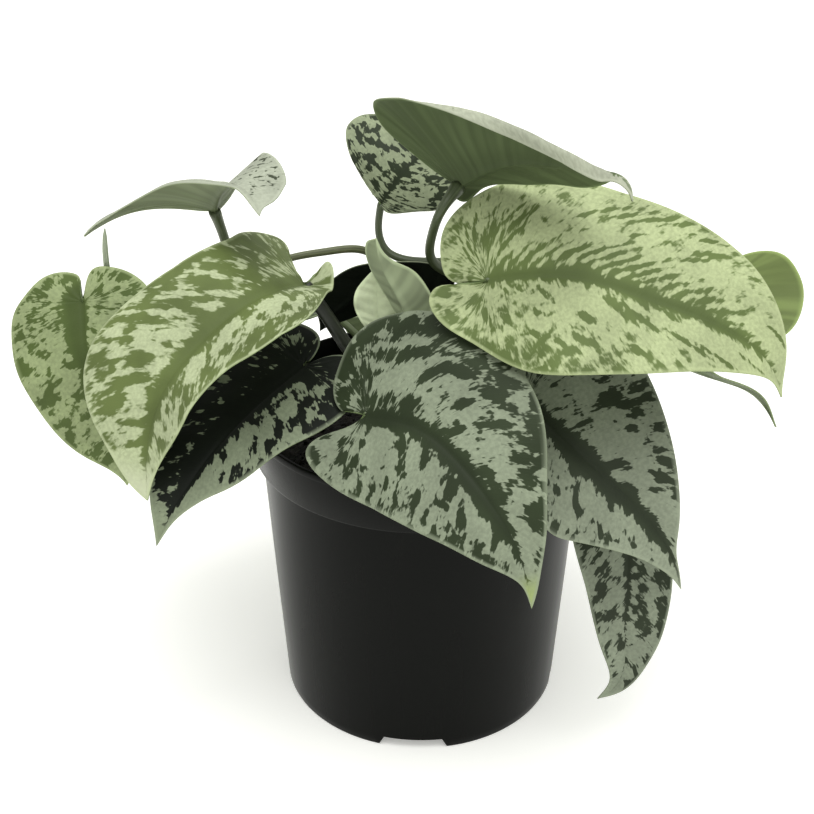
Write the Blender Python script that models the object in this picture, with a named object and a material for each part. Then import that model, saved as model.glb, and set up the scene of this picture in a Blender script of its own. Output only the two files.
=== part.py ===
"""Satin pothos in a round nursery pot: pot, soil, five vines and eighteen leaves.

Lengths here are in millimetres and angles in degrees; solid_object() turns them into metres.
X runs to the right, Y to the back, Z up; the origin is the middle of the pot's base.
"""
import bpy
import bmesh
import math
import numpy as np

MM = 0.001

# Pot
POT_HEIGHT = 113.0
POT_RIM_RADIUS = 60.0
POT_BASE_RADIUS = 50.0
POT_WALL = 1.3
RIM_BAND_HEIGHT = 16.3
RIM_BAND_BOTTOM_RADIUS = 58.5
WALL_TOP_RADIUS = 55.8
LIP_HEIGHT = 2.6
LIP_STEP = 0.5
FLOOR_THICKNESS = 1.6
PAD_RADIUS = 15.0
CHANNEL_HEIGHT = 4.6
CHANNEL_OUTER_RADIUS = 46.0
FOOT_INNER_RADIUS = 47.2
NOTCH_COUNT = 4
NOTCH_WIDTH = 22.0
NOTCH_HEIGHT = 4.0
NOTCH_ANGLE = -93.5
DRAIN_COUNT = 6
DRAIN_RADIUS = 3.5
DRAIN_CIRCLE = 33.0
POT_SEGMENTS = 40

# Soil
SOIL_TOP = 100.0
SOIL_GAP = 0.5
SOIL_SEGMENTS = 32
SOIL_LEDGE_RADIUS = 56.7
SOIL_HEAP = 1.6
HOLE_GAP = 0.5
HOLE_DEPTH = 17.0

# Leaves and vines
BLADE_THICKNESS = 0.8
STALK_SIDES = 6
VINE_SIDES = 8
FOOT_GAP = 0.5
FOOT_FLARE = 1.1
MIDRIB_STEPS = 121
WAVE_HEIGHT = 0.6
WAVE_COUNT = 2.5
RIMMED_REACHES = (0, 0.3, 0.58, 0.8, 0.9, 1)
SMALL_LEAF = 62.0

# Each leaf: the midrib from base to tip, the upper face's direction along it, and for its left and
# right half the half width, lobe, fullness, fold and curl. A shape is a margin of its own, in half
# widths across and leaf lengths along. The stalk runs from the blade's base to its vine.
LARGE_RIGHT_LOWER = [(0, 0), (0.01, -0.055), (0.01, -0.1), (0.03, -0.133), (0.1, -0.153), (0.2, -0.159),
                     (0.34, -0.146), (0.5, -0.107), (0.67, -0.035), (0.92, 0.07), (1.06, 0.18),
                     (1.08, 0.29), (0.97, 0.4), (0.78, 0.53), (0.6, 0.66), (0.37, 0.795), (0.15, 0.89),
                     (0.04, 0.95), (0, 1)]
LARGE_RIGHT_UPPER = [(0, 0), (0.01, -0.05), (0.025, -0.095), (0.09, -0.127), (0.2, -0.142),
                     (0.38, -0.148), (0.56, -0.138), (0.78, -0.08), (0.92, 0.02), (0.97, 0.14),
                     (0.97, 0.3), (0.95, 0.46), (0.83, 0.65), (0.58, 0.78), (0.38, 0.855), (0.16, 0.93),
                     (0.05, 0.97), (0, 1)]
TOP_LOWER = [(0, 0), (0.12, -0.05), (0.38, -0.08), (0.5, -0.05), (0.47, 0.01), (0.42, 0.08),
             (0.56, 0.18), (0.84, 0.36), (0.92, 0.5), (0.95, 0.62), (0.7, 0.75), (0.3, 0.84),
             (0.1, 0.92), (0, 1)]
TOP_UPPER = [(0, 0), (0.15, -0.04), (0.5, -0.08), (0.85, -0.06), (0.99, 0.02), (0.96, 0.13),
             (0.81, 0.26), (0.63, 0.44), (0.41, 0.62), (0.2, 0.76), (0.07, 0.86), (0.04, 0.93), (0, 1)]
UPPER_LEFT_LEFT = [(0, 0), (0.06, -0.04), (0.25, -0.07), (0.5, -0.055), (0.75, -0.035), (0.95, 0),
                   (1.03, 0.06), (0.92, 0.085), (0.73, 0.09), (0.6, 0.15), (0.47, 0.25), (0.34, 0.365),
                   (0.23, 0.455), (0.13, 0.55), (0.06, 0.66), (0.04, 0.8), (0.03, 0.92), (0, 1)]
UPPER_LEFT_RIGHT = [(0, 0), (0.05, -0.05), (0.3, -0.06), (0.5, 0), (0.68, 0.14), (0.82, 0.33),
                    (0.92, 0.5), (0.98, 0.66), (0.92, 0.79), (0.6, 0.905), (0.28, 0.955), (0.07, 0.975),
                    (0, 1)]
LEFT_UPPER = [(0, 0), (0.1, -0.03), (0.3, -0.06), (0.45, -0.125), (0.62, -0.185), (0.76, -0.19),
              (0.84, -0.11), (0.82, 0.05), (0.79, 0.2), (0.84, 0.38), (0.93, 0.55), (0.94, 0.64),
              (0.84, 0.71), (0.64, 0.79), (0.4, 0.87), (0.15, 0.965), (0, 1)]
LEFT_LOWER = [(0, 0), (0.01, -0.03), (0.015, -0.062), (0.05, -0.082), (0.12, -0.086), (0.2, -0.077),
              (0.28, -0.057), (0.36, -0.028), (0.48, 0.045), (0.65, 0.118), (0.8, 0.165), (1, 0.23),
              (1.12, 0.31), (1.06, 0.41), (0.88, 0.49), (0.77, 0.6), (0.66, 0.71), (0.44, 0.805),
              (0.19, 0.895), (0.06, 0.96), (0, 1)]
FRONT_UPPER = [(0, 0), (0, -0.09), (0.12, -0.148), (0.42, -0.17), (0.79, -0.15), (0.99, -0.08),
               (1.08, 0.05), (1.07, 0.15), (0.98, 0.29), (0.84, 0.46), (0.7, 0.55), (0.48, 0.655),
               (0.27, 0.78), (0.15, 0.865), (0.05, 0.96), (0, 1)]
RIGHT_UPPER = [(0, 0), (0.08, -0.08), (0.35, -0.17), (0.7, -0.18), (1, -0.08), (1.1, 0.1), (1.04, 0.25),
               (0.83, 0.43), (0.62, 0.56), (0.36, 0.695), (0.18, 0.78), (0.05, 0.86), (0.02, 0.94),
               (0, 1)]
RIGHT_LOWER = [(0, 0), (0.08, -0.05), (0.3, -0.09), (0.55, -0.05), (0.78, 0.08), (1, 0.22), (1.14, 0.35),
               (1.14, 0.43), (1.03, 0.5), (0.83, 0.59), (0.45, 0.77), (0.2, 0.89), (0.08, 0.945), (0, 1)]
FRONT_LOWER = [(0, 0), (0.08, -0.015), (0.22, -0.08), (0.4, -0.155), (0.6, -0.17), (0.85, -0.08),
               (1, 0.06), (1.04, 0.2), (1, 0.38), (0.85, 0.53), (0.68, 0.64), (0.41, 0.79), (0.17, 0.87),
               (0.04, 0.93), (0, 1)]
SMALL_TOP_LEFT = [(0, 0), (0.08, 0.015), (0.28, 0.055), (0.55, 0.11), (0.81, 0.2), (0.96, 0.31),
                  (0.95, 0.43), (0.82, 0.57), (0.6, 0.74), (0.35, 0.88), (0.1, 0.97), (0, 1)]
SMALL_TOP_RIGHT = [(0, 0), (0.1, -0.02), (0.41, 0.05), (0.73, 0.165), (0.98, 0.27), (1, 0.42),
                   (0.9, 0.6), (0.65, 0.78), (0.35, 0.9), (0.1, 0.97), (0, 1)]
DARK_LEFT_LOWER = [(0, 0), (0.1, -0.08), (0.33, -0.15), (0.68, -0.14), (0.95, -0.04), (1.07, 0.1),
                   (1.02, 0.2), (0.9, 0.33), (0.74, 0.51), (0.55, 0.62), (0.32, 0.715), (0.18, 0.795),
                   (0.07, 0.885), (0.02, 0.96), (0, 1)]
DARK_LEFT_UPPER = [(0, 0), (0.03, -0.07), (0.12, -0.135), (0.35, -0.168), (0.56, -0.155), (0.8, -0.1),
                   (0.95, 0), (1, 0.13), (0.95, 0.35), (0.72, 0.6), (0.38, 0.82), (0.08, 0.955), (0, 1)]
YOUNG_RIGHT = [(0, 0), (0.1, -0.05), (0.4, -0.05), (0.78, 0.07), (0.98, 0.22), (0.93, 0.42),
               (0.78, 0.55), (0.52, 0.67), (0.24, 0.79), (0.08, 0.9), (0.03, 0.97), (0, 1)]
YOUNG_LEFT = [(0, 0), (0.1, -0.03), (0.35, 0), (0.6, 0.15), (0.8, 0.35), (0.86, 0.6), (0.95, 0.8),
              (0.8, 0.92), (0.4, 0.98), (0, 1)]
YOUNG_SMALL_LEFT = [(0, 0), (0.3, -0.05), (0.62, 0.05), (0.83, 0.22), (0.95, 0.42), (0.88, 0.6),
                    (0.6, 0.77), (0.2, 0.93), (0, 1)]
HANGING_LEFT = [(0, 0), (0.1, -0.08), (0.5, -0.1), (1, -0.02), (1.3, 0.12), (1.3, 0.26), (1.05, 0.42),
                (0.83, 0.54), (0.55, 0.72), (0.26, 0.87), (0.1, 0.95), (0, 1)]
HANGING_RIGHT = [(0, 0), (0.1, -0.08), (0.5, -0.1), (0.9, 0.02), (1, 0.2), (0.98, 0.4), (0.91, 0.57),
                 (0.82, 0.66), (0.53, 0.775), (0.25, 0.88), (0.08, 0.96), (0, 1)]
FAR_LEFT_LEFT = [(0, 0), (0.03, -0.06), (0.04, -0.13), (0.15, -0.162), (0.31, -0.172), (0.58, -0.145),
                 (0.8, -0.065), (0.97, 0.035), (1.01, 0.16), (0.97, 0.285), (0.88, 0.41), (0.78, 0.54),
                 (0.64, 0.67), (0.43, 0.79), (0.19, 0.88), (0.04, 0.96), (0, 1)]
FAR_LEFT_RIGHT = [(0, 0), (0.03, -0.07), (0.12, -0.155), (0.36, -0.168), (0.58, -0.14), (0.78, -0.09),
                  (0.93, -0.02), (1.05, 0.12), (1.04, 0.3), (0.88, 0.5), (0.62, 0.72), (0.3, 0.9),
                  (0.08, 0.965), (0, 1)]

LEAVES = {
    "leaf_large_right": {
        "midrib": [(20, -28, 170), (43, -34.7, 174.2), (69, -39, 168.4), (91, -42, 160.7),
                   (105.5, -44, 150), (111.5, -43, 137.5)],
        "face": [(-0.15, -0.68, 0.72), (0.1, -0.6, 0.76), (0.35, -0.6, 0.7), (0.7, -0.6, 0.3)],
        "half_width": (35.5, 31), "lobe": (0.13, 0.15), "gap": 0.05,
        "full": (0.95, 0.3),
        "shape": (LARGE_RIGHT_UPPER, LARGE_RIGHT_LOWER),
        "fold": ((8, 6), (8, 6)), "curl": ((-18, -10), (-4, -10)),
        "lift": (0, 4.5),
        "stalk": [(20.5, -18, 170), (21.5, -3, 162)], "stalk_radius": 1.7,
        "vine": "vine_right", "joins_at": (18, 17, 147),
    },
    "leaf_front": {
        "midrib": [(-18, -45, 132), (-2, -56, 134), (15, -74, 126), (28, -86, 108), (32, -91, 92)],
        "face": [(-0.42, -0.62, 0.68), (-0.3, -0.72, 0.6), (0.1, -0.9, 0.4)],
        "half_width": (35, 27), "lobe": (0.17, 0.17), "gap": 0.12,
        "full": (0.3, 0.35),
        "shape": (FRONT_UPPER, FRONT_LOWER),
        "fold": ((4, 4), (6, 6)), "curl": ((-24, -12), (-14, -8)),
        "lift": (0, 4),
        "stalk": [(-16, -34, 130), (-10, -22, 120)], "stalk_radius": 1.6,
        "vine": "vine_front", "joins_at": (-2, -10, 106),
    },
    "leaf_right": {
        "midrib": [(32, -28.5, 128.5), (50, -42, 116.5), (69, -52, 101), (79, -57, 88), (83, -60, 76.5)],
        "face": [(0.1, -0.7, 0.7), (0.3, -0.85, 0.4), (0.3, -0.95, 0.1)],
        "half_width": (35, 23), "lobe": (0.18, 0.12), "gap": 0.1,
        "shape": (RIGHT_UPPER, RIGHT_LOWER),
        "fold": ((6, 6), (25, 8, 6)), "curl": ((-12, -8), (-4, -8)),
        "stalk": [(28, -10, 126), (24, 2, 121)], "stalk_radius": 1.6,
        "vine": "vine_right", "joins_at": (20, 14, 116),
    },
    "leaf_hanging": {
        "midrib": [(66, -23.5, 99), (69, -36.5, 79), (69, -46, 47), (67, -48.5, 27.5), (61, -48.5, 21.5)],
        "face": [(0.35, -0.8, 0.5), (0.15, -0.95, 0.25), (0, -0.99, 0.1)],
        "half_width": (16, 15), "lobe": (0.1, 0.1), "gap": 0.1,
        "full": (0.5, 0.3),
        "shape": (HANGING_RIGHT, HANGING_LEFT),
        "fold": ((10, 10), (10, 10)), "curl": ((-20, -10), (-20, -10)),
        "stalk": [(68, -8, 110), (58, 4, 121), (40, 11, 118)], "stalk_radius": 1.5,
        "vine": "vine_right", "joins_at": (20, 14, 108),
    },
    "leaf_left": {
        "midrib": [(-39, -4, 158), (-45, -14, 161), (-57, -27, 160), (-70, -38, 152), (-79, -46, 143),
                   (-85, -54, 126), (-86, -58, 109)],
        "face": [(-0.1, -0.3, 0.95), (-0.2, -0.5, 0.8), (-0.45, -0.65, 0.6), (-0.5, -0.85, 0.2)],
        "half_width": (26, 36), "lobe": (0.09, 0.11), "gap": 0.06,
        "shape": (LEFT_LOWER, LEFT_UPPER),
        "fold": ((4, 22, 19, 15), (24, 5, 6, 6)), "curl": ((8, 8), (-12, -8)),
        "lift": (8.5, 0),
        "stalk": [(-33, -6, 150), (-23, -8, 134)], "stalk_radius": 2.7,
        "vine": "vine_front", "joins_at": (-6, -9, 120),
    },
    "leaf_far_left": {
        "midrib": [(-112.5, -2, 151), (-110.5, -14, 135), (-105, -20, 112), (-100, -22, 92)],
        "face": [(-0.2, -0.8, 0.55), (-0.2, -0.9, 0.35), (-0.2, -0.95, 0.2)],
        "half_width": (25, 26), "lobe": (0.17, 0.17), "gap": 0.06,
        "full": (0.3, 0.4),
        "shape": (FAR_LEFT_RIGHT, FAR_LEFT_LEFT),
        "fold": ((6, 6), (6, 6)), "curl": ((-12, -8), (-12, -8)),
        "stalk": [(-110.5, 3, 147), (-103, 9.5, 141.5)], "stalk_radius": 1.3,
        "vine": "vine_left", "joins_at": (-96, 15, 145),
    },
    "leaf_dark_left": {
        "midrib": [(-39, -17.8, 135.2), (-55, -33.6, 127.3), (-70, -51, 115.8), (-80, -58, 101.9),
                   (-84, -61, 94)],
        "face": [(-0.3, -0.5, 0.8), (-0.4, -0.65, 0.65), (-0.3, -0.9, 0.3)],
        "half_width": (24, 27), "lobe": (0.15, 0.17), "gap": 0.1,
        "full": (-0.4, 0.1),
        "shape": (DARK_LEFT_LOWER, DARK_LEFT_UPPER),
        "fold": ((6, 6), (6, 6)), "curl": ((-12, -8), (-12, -8)),
        "stalk": [(-33, -14, 131), (-21, -12, 119)], "stalk_radius": 1.6,
        "vine": "vine_front", "joins_at": (-4, -10, 111),
    },
    "leaf_top": {
        "midrib": [(11.3, -1.5, 191.5), (23, -13, 202), (40, -28.5, 207.8), (50.4, -36, 209),
                   (56.3, -41.3, 208.9), (59.2, -43.6, 206), (60, -44.3, 202.6)],
        "face": [(0.4, 0.75, 0.5), (0.4, 0.7, 0.55), (0.4, 0.65, 0.6), (0.45, 0.5, 0.7),
                 (0.6, -0.4, 0.7)],
        "half_width": (13.5, 39), "lobe": (0.12, 0.25), "gap": 0.1,
        "shape": (TOP_LOWER, TOP_UPPER),
        "fold": ((12, 5), (14, 0)), "curl": ((-10, -8), (-20, -20)),
        "rim_curl": (None, (0, -10, -70, -130, -140, -80, 0)), "rim_width": 5,
        "stalk": [(6, -7.5, 186), (3, -4, 176), (2.6, 1, 166)], "stalk_radius": 1.7,
        "vine": "vine_right", "joins_at": (16, 16, 155.5),
    },
    "leaf_small_top": {
        "midrib": [(-14, 26, 175), (-6, 28, 186), (4, 38, 194), (12, 52, 194)],
        "face": [(-0.1, -0.8, 0.5), (-0.1, -0.5, 0.8), (0, 0, 1)],
        "half_width": (27, 20), "lobe": (0.03, 0.05), "gap": 0.1,
        "shape": (SMALL_TOP_LEFT, SMALL_TOP_RIGHT),
        "fold": ((10, 10), (10, 10)), "curl": ((-10, -8), (-10, -8)),
        "stalk": [(-14.8, 27, 168.5), (-14.4, 26.5, 162), (-12, 25.5, 157.8), (-7, 24, 155.6),
                  (0, 21.5, 155.6)], "stalk_radius": 1.5,
        "vine": "vine_right", "joins_at": (14, 16, 159),
    },
    "leaf_upper_left": {
        "midrib": [(-72, 34, 169.5), (-68.5, 22, 179.5), (-63.5, 8, 188), (-59.5, -3.5, 192.3),
                   (-56.2, -9, 192.7), (-53.2, -13.2, 191), (-50.9, -17, 187.3)],
        "face": [(0, 0.8, 0.6), (0, 0.8, 0.6), (0, 0.8, 0.6), (0, 0.8, 0.6), (0, 0.7, 0.7),
                 (-0.1, -0.1, 0.95)],
        "half_width": (17.5, 47), "lobe": (0.12, 0.14), "gap": 0.1,
        "shape": (UPPER_LEFT_RIGHT, UPPER_LEFT_LEFT),
        "fold": ((50, 50, 50, 30, 10), (10, 10, 10, 8, 0)), "curl": ((0, 0), (-62, -60, -40)),
        "curl_power": (1, 1.15),
        "rim_curl": (None, (0, -30, -40, -30, 0)), "rim_width": 3,
        "stalk": [(-69, 35, 157)], "stalk_radius": 1.8,
        "vine": "vine_left", "joins_at": (-65, 26, 146),
    },
    "leaf_behind_right": {
        "midrib": [(103, 24, 146), (110, 24, 132), (114, 30, 121), (114, 40, 112)],
        "face": [(0, 0.9, 0.4), (0, 0.9, 0.4), (0, 0.6, 0.8)],
        "half_width": (22, 27), "lobe": (0.15, 0.15), "gap": 0.1,
        "fold": ((5, 5), (5, 5)), "curl": ((-10, -8), (-10, -8)),
        "stalk": [(97, 29, 150)], "stalk_radius": 1.4,
        "vine": "vine_back_right", "joins_at": (88, 34, 148),
    },
    "leaf_edge_right": {
        "midrib": [(62, 20, 124), (80, 22, 122), (105, 24, 109.5), (123, 22, 101.5), (129, 18, 92)],
        "face": [(0, 0.47, 0.87), (0.15, 0.44, 0.87), (0.4, 0.4, 0.82)],
        "half_width": (16, 16), "lobe": (0.15, 0.15), "gap": 0.1,
        "fold": ((2, 2), (2, 2)), "curl": ((-4, -3), (-4, -3)),
        "stalk": [(54, 22, 128)], "stalk_radius": 1.4,
        "vine": "vine_back_right", "joins_at": (50, 28, 136),
    },
    "leaf_young": {
        "midrib": [(-4, -12.5, 148), (-8, -9.5, 157), (-13, -7, 166), (-15, -5, 175)],
        "face": [(0.1, 0.95, -0.1), (0.2, 0.9, 0)],
        "half_width": (12, 7), "lobe": (0.06, 0.04), "gap": 0.1,
        "full": (0.2, 0.6),
        "shape": (YOUNG_RIGHT, YOUNG_LEFT),
        "fold": ((-10, -10), (25, 25)), "curl": ((-20, -20), (20, 20)),
        "stalk": [(-1, -12, 141), (0, -11, 131)], "stalk_radius": 1.3,
        "vine": "vine_front", "joins_at": (-5, -10, 122),
    },
    "leaf_young_small": {
        "midrib": [(-14.5, -2, 142.2), (-15, 1, 149.4), (-15.6, 4, 160.6)],
        "face": [(0.1, -0.9, 0.4), (0.1, -0.9, 0.4)],
        "half_width": (9, 8), "lobe": (0.06, 0.12), "gap": 0.1,
        "full": (1.2, 0.8),
        "shape": (YOUNG_SMALL_LEFT, None),
        "fold": ((10, 10), (10, 10)), "curl": ((20, 20), (20, 20)),
        "stalk": [(-13, -1, 136), (-9, 0, 127)], "stalk_radius": 1.2,
        "vine": "vine_front", "joins_at": (-4, -10, 115),
    },
    "leaf_behind_centre": {
        "midrib": [(2, 23, 142), (-9, 22, 145.6), (-23, 22, 142.4), (-36, 24, 128)],
        "face": [(0, 0.75, 0.6), (0, 0.75, 0.6)],
        "half_width": (18, 19), "lobe": (0.12, 0.12), "gap": 0.1,
        "fold": ((8, 8), (8, 8)), "curl": ((-10, -8), (-10, -8)),
        "stalk": [(8, 24, 137), (14, 22, 127)], "stalk_radius": 1.5,
        "vine": "vine_right", "joins_at": (20, 15, 122),
    },
    "leaf_back_1": {
        "midrib": [(37, 49, 131), (50, 64, 127), (62, 77, 110), (68, 83, 88)],
        "face": [(-0.3, 0.2, 0.95), (0.3, 0.5, 0.8), (0.5, 0.8, 0.3)],
        "half_width": (28, 30), "lobe": (0.16, 0.18), "gap": 0.06,
        "full": (0.4, 0.4),
        "fold": ((6, 6), (6, 6)), "curl": ((-14, -8), (-14, -8)),
        "stalk": [(32, 38, 130)], "stalk_radius": 1.5,
        "vine": "vine_back_right", "joins_at": (33, 24, 124),
    },
    "leaf_back_2": {
        "midrib": [(-50, 54, 117), (-62, 66, 111), (-73, 76, 93), (-78, 80, 73)],
        "face": [(-0.1, 0.1, 0.98), (-0.4, 0.5, 0.75), (-0.5, 0.8, 0.3)],
        "half_width": (28, 30), "lobe": (0.12, 0.14), "gap": 0.06,
        "full": (0.4, 0.4),
        "fold": ((6, 6), (6, 6)), "curl": ((-14, -8), (-14, -8)),
        "stalk": [(-38, 49, 124), (-25, 45, 117)], "stalk_radius": 1.5,
        "vine": "vine_left", "joins_at": (-13, 40, 108),
    },
    "leaf_back_3": {
        "midrib": [(-6, 67, 117), (-9, 80, 112), (-12, 92, 95), (-13, 97, 74)],
        "face": [(0, -0.2, 0.97), (0, 0.6, 0.8), (0, 0.95, 0.2)],
        "half_width": (24, 23), "lobe": (0.12, 0.14), "gap": 0.06,
        "full": (0.4, 0.4),
        "fold": ((6, 6), (6, 6)), "curl": ((-14, -8), (-14, -8)),
        "stalk": [(-6, 56, 123)], "stalk_radius": 1.5,
        "vine": "vine_back", "joins_at": (-7, 43, 120),
    },
    "leaf_back_4": {
        "midrib": [(26, 72, 96), (29, 79, 82), (30, 80, 58), (26, 79, 38)],
        "face": [(0.1, 0.8, 0.6), (0.1, 0.95, 0.2), (0.1, 0.98, 0)],
        "half_width": (20, 18), "lobe": (0.12, 0.12), "gap": 0.06,
        "full": (0.2, 0.2),
        "fold": ((8, 8), (8, 8)), "curl": ((-14, -8), (-14, -8)),
        "stalk": [(25, 68, 110), (17, 56, 119), (6, 46, 114)], "stalk_radius": 1.4,
        "vine": "vine_back", "joins_at": (-6, 40, 106),
    },
}

VINES = {
    "vine_left": {
        "path": [(-13, 40, 84), (-13, 40, 100), (-11, 41, 124), (-12, 39, 144), (-20, 36, 153.5),
                 (-33, 33, 154.5), (-48, 29, 153), (-66, 26, 145), (-88, 20, 141), (-101, 12, 147),
                 (-105.3, 7, 156)],
        "radius": (1.8, 0.9),
        "rolled_tip": [(-105.3, 7, 156), (-105.3, 6.5, 161), (-105, 6, 168), (-104.5, 6, 174)],
    },
    "vine_right": {
        "path": [(20, 14, 84), (20, 14, 100), (20, 15, 130), (18, 16, 150), (12.5, 16, 162)],
        "radius": (2.6, 2),
    },
    "vine_front": {
        "path": [(0, -10, 84), (0, -10, 98), (-3, -10, 112), (-6, -9, 126)],
        "radius": (2.6, 2.2),
    },
    "vine_back_right": {
        "path": [(28, 26, 84), (28, 26, 100), (34, 25, 124), (50, 28, 136), (70, 32, 144), (88, 34, 148)],
        "radius": (2.3, 1.5),
    },
    "vine_back": {
        "path": [(-3, 43, 84), (-3, 43, 100), (-4, 44, 112), (-6, 46, 126)],
        "radius": (2.4, 1.8),
    },
}


def unit(vectors):
    vectors = np.asarray(vectors, float)
    return vectors / np.linalg.norm(vectors, axis=-1, keepdims=True)


def spline_bends(points, knots):
    """Second derivatives of the natural cubic spline through the points."""
    size = len(points)
    matrix = np.eye(size)
    right = np.zeros((size, points.shape[1]))
    for i in range(1, size - 1):
        before = knots[i] - knots[i - 1]
        after = knots[i + 1] - knots[i]
        matrix[i, i - 1:i + 2] = before, 2 * (before + after), after
        slope_change = (points[i + 1] - points[i]) / after - (points[i] - points[i - 1]) / before
        right[i] = 6 * slope_change
    return np.linalg.solve(matrix, right)


def smooth_path(points, count):
    """Smooth curve through the points, resampled at even steps of its length."""
    points = np.array(points, float)
    knots = np.concatenate([[0.0], np.cumsum(np.linalg.norm(np.diff(points, axis=0), axis=1))])
    bends = spline_bends(points, knots)
    dense = np.linspace(0, knots[-1], 400)
    span = np.clip(np.searchsorted(knots, dense, side="right") - 1, 0, len(points) - 2)
    width = knots[span + 1] - knots[span]
    a = ((knots[span + 1] - dense) / width)[:, None]
    b = 1 - a
    line = a * points[span] + b * points[span + 1]
    width = width[:, None]
    line = line + ((a ** 3 - a) * bends[span] + (b ** 3 - b) * bends[span + 1]) * width * width / 6
    run = np.concatenate([[0.0], np.cumsum(np.linalg.norm(np.diff(line, axis=0), axis=1))])
    even = np.linspace(0, run[-1], count)
    return np.stack([np.interp(even, run, line[:, k]) for k in range(line.shape[1])], axis=1)


def along(values, share):
    """Value at a share of the length, from values at even steps."""
    values = np.asarray(values, float)
    return np.interp(share, np.linspace(0, 1, len(values)), values)


def smooth_step(low, high, value):
    t = np.clip((value - low) / (high - low), 0, 1)
    return t * t * (3 - 2 * t)


class Blade:
    """A leaf blade's form: points of its middle surface from margin coordinates."""

    def __init__(self, row):
        self.row = row
        self.line = smooth_path(row["midrib"], MIDRIB_STEPS)
        self.length = np.linalg.norm(np.diff(self.line, axis=0), axis=1).sum()
        self.tangent = unit(np.gradient(self.line, axis=0))
        faces = unit(row["face"])
        share = np.linspace(0, 1, MIDRIB_STEPS)
        face = np.stack([along(faces[:, k], share) for k in range(3)], axis=1)
        face = face - (face * self.tangent).sum(1, keepdims=True) * self.tangent
        self.face = unit(face)
        self.side = np.cross(self.tangent, self.face)

    def frame(self, y):
        """Midrib point, tangent, face and side direction at y (0 base, 1 tip, below 0 straight on)."""
        step = np.clip(y, 0, 1) * (MIDRIB_STEPS - 1)
        out = []
        for array in (self.line, self.tangent, self.face, self.side):
            columns = [np.interp(step, np.arange(MIDRIB_STEPS), array[:, k]) for k in range(3)]
            out.append(np.stack(columns, axis=-1))
        behind = np.minimum(y, 0)[..., None] * self.length
        out[0] = out[0] + behind * out[1]
        return out

    def heart_margin(self, side):
        """Margin of one half of a heart-shaped leaf with a drip tip."""
        lobe = self.row["lobe"][side]
        gap = self.row["gap"]
        full = self.row.get("full", (0, 0))[side]
        belly = 0.12
        return [(0, 0), (gap, -0.55 * lobe), (0.3 + gap / 2, -0.97 * lobe), (0.62, -0.93 * lobe),
                (0.9, -0.3 * lobe), (1, belly), (0.93 + 0.04 * full, belly + 0.26),
                (0.69 + 0.16 * full, belly + 0.51 + 0.02 * full), (0.33 + 0.22 * full, belly + 0.73),
                (0.07, 0.955), (0, 1)]

    def margin(self, side, share):
        """Margin point of one half: x in half widths, y in leaf lengths."""
        shape = self.row.get("shape", (None, None))[side] or self.heart_margin(side)
        stretch = 1.6
        path = smooth_path([(x, y * stretch) for x, y in shape], 400)
        step = np.asarray(share) * 399
        x = np.interp(step, np.arange(400), path[:, 0])
        y = np.interp(step, np.arange(400), path[:, 1]) / stretch
        return np.where(y < 0.02, np.maximum(x, 0.03), np.maximum(x, 0)), y

    def margin_x(self, side, y):
        """Half width of the blade at y, as a share of its widest."""
        x_margin, y_margin = self.margin(side, np.linspace(0, 1, 400))
        lowest = int(np.argmin(y_margin))
        return np.interp(y, y_margin[lowest:], x_margin[lowest:])

    def place(self, side, x, y):
        """Point of the blade at x half widths and y leaf lengths."""
        row = self.row
        point, tangent, face, across = self.frame(y)
        sign = (-1, 1)[side]
        half = row["half_width"][side]
        share = np.clip(y, 0, 1)
        fold = np.radians(along(row["fold"][side], share))
        curl = np.radians(along(row["curl"][side], share))
        power = row.get("curl_power", (1, 1))[side]
        rim_curl = row.get("rim_curl", (None, None))[side]
        steps = 24 if rim_curl else 8
        up = 0
        out = 0
        for k in range(steps):
            reached = x * (k + 0.5) / steps
            angle = fold + curl * reached ** power
            if rim_curl:
                width = row["rim_width"] / half
                inner = self.margin_x(side, y) - width
                bend = np.radians(along(rim_curl, share))
                angle = angle + bend * smooth_step(inner, inner + 0.6 * width, reached)
            up = up + x * half / steps * np.sin(angle)
            out = out + x * half / steps * np.cos(angle)
        up = up + row.get("lift", (0, 0))[side] * np.clip(-y / row["lobe"][side], 0, 2) ** 2
        swing = np.sin(2 * np.pi * (WAVE_COUNT * y + 0.37 * side))
        up = up + WAVE_HEIGHT * x ** 2 * swing * (1 - share ** 3)
        return point + sign * out * across + up * face


def rib_root(y_margin):
    """Where the side vein that ends at y_margin leaves the midrib."""
    return np.clip((y_margin - 0.06) / 0.94, 0, 1) ** 1.45


def rib_point(blade, side, share, reach):
    """Blade coordinates on the curved side vein to a margin share, at reach 0 to 1 along it."""
    x_out, y_out = blade.margin(side, share)
    y_root = rib_root(y_out)
    x_bend = 0.55 * x_out
    y_bend = y_root + 0.32 * (y_out - y_root)
    x = 2 * (1 - reach) * reach * x_bend + reach * reach * x_out
    y = (1 - reach) ** 2 * y_root + 2 * (1 - reach) * reach * y_bend + reach * reach * y_out
    return x, y


def margin_stations(blade, side, lobe_steps, length_steps):
    """Margin shares: steps round the lobe, then even steps along the length."""
    share = np.linspace(0, 1, 400)
    y = blade.margin(side, share)[1]
    lowest = int(np.argmin(y))
    turn = lowest + int(np.searchsorted(y[lowest:], 0.06))
    round_lobe = np.linspace(0, share[turn], lobe_steps + 1)
    wanted = 0.06 + 0.94 * np.linspace(0, 1, length_steps + 1)[1:]
    rest = np.interp(wanted, y[turn:], share[turn:])
    rest[-1] = 1.0
    return np.concatenate([round_lobe, rest])


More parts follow.
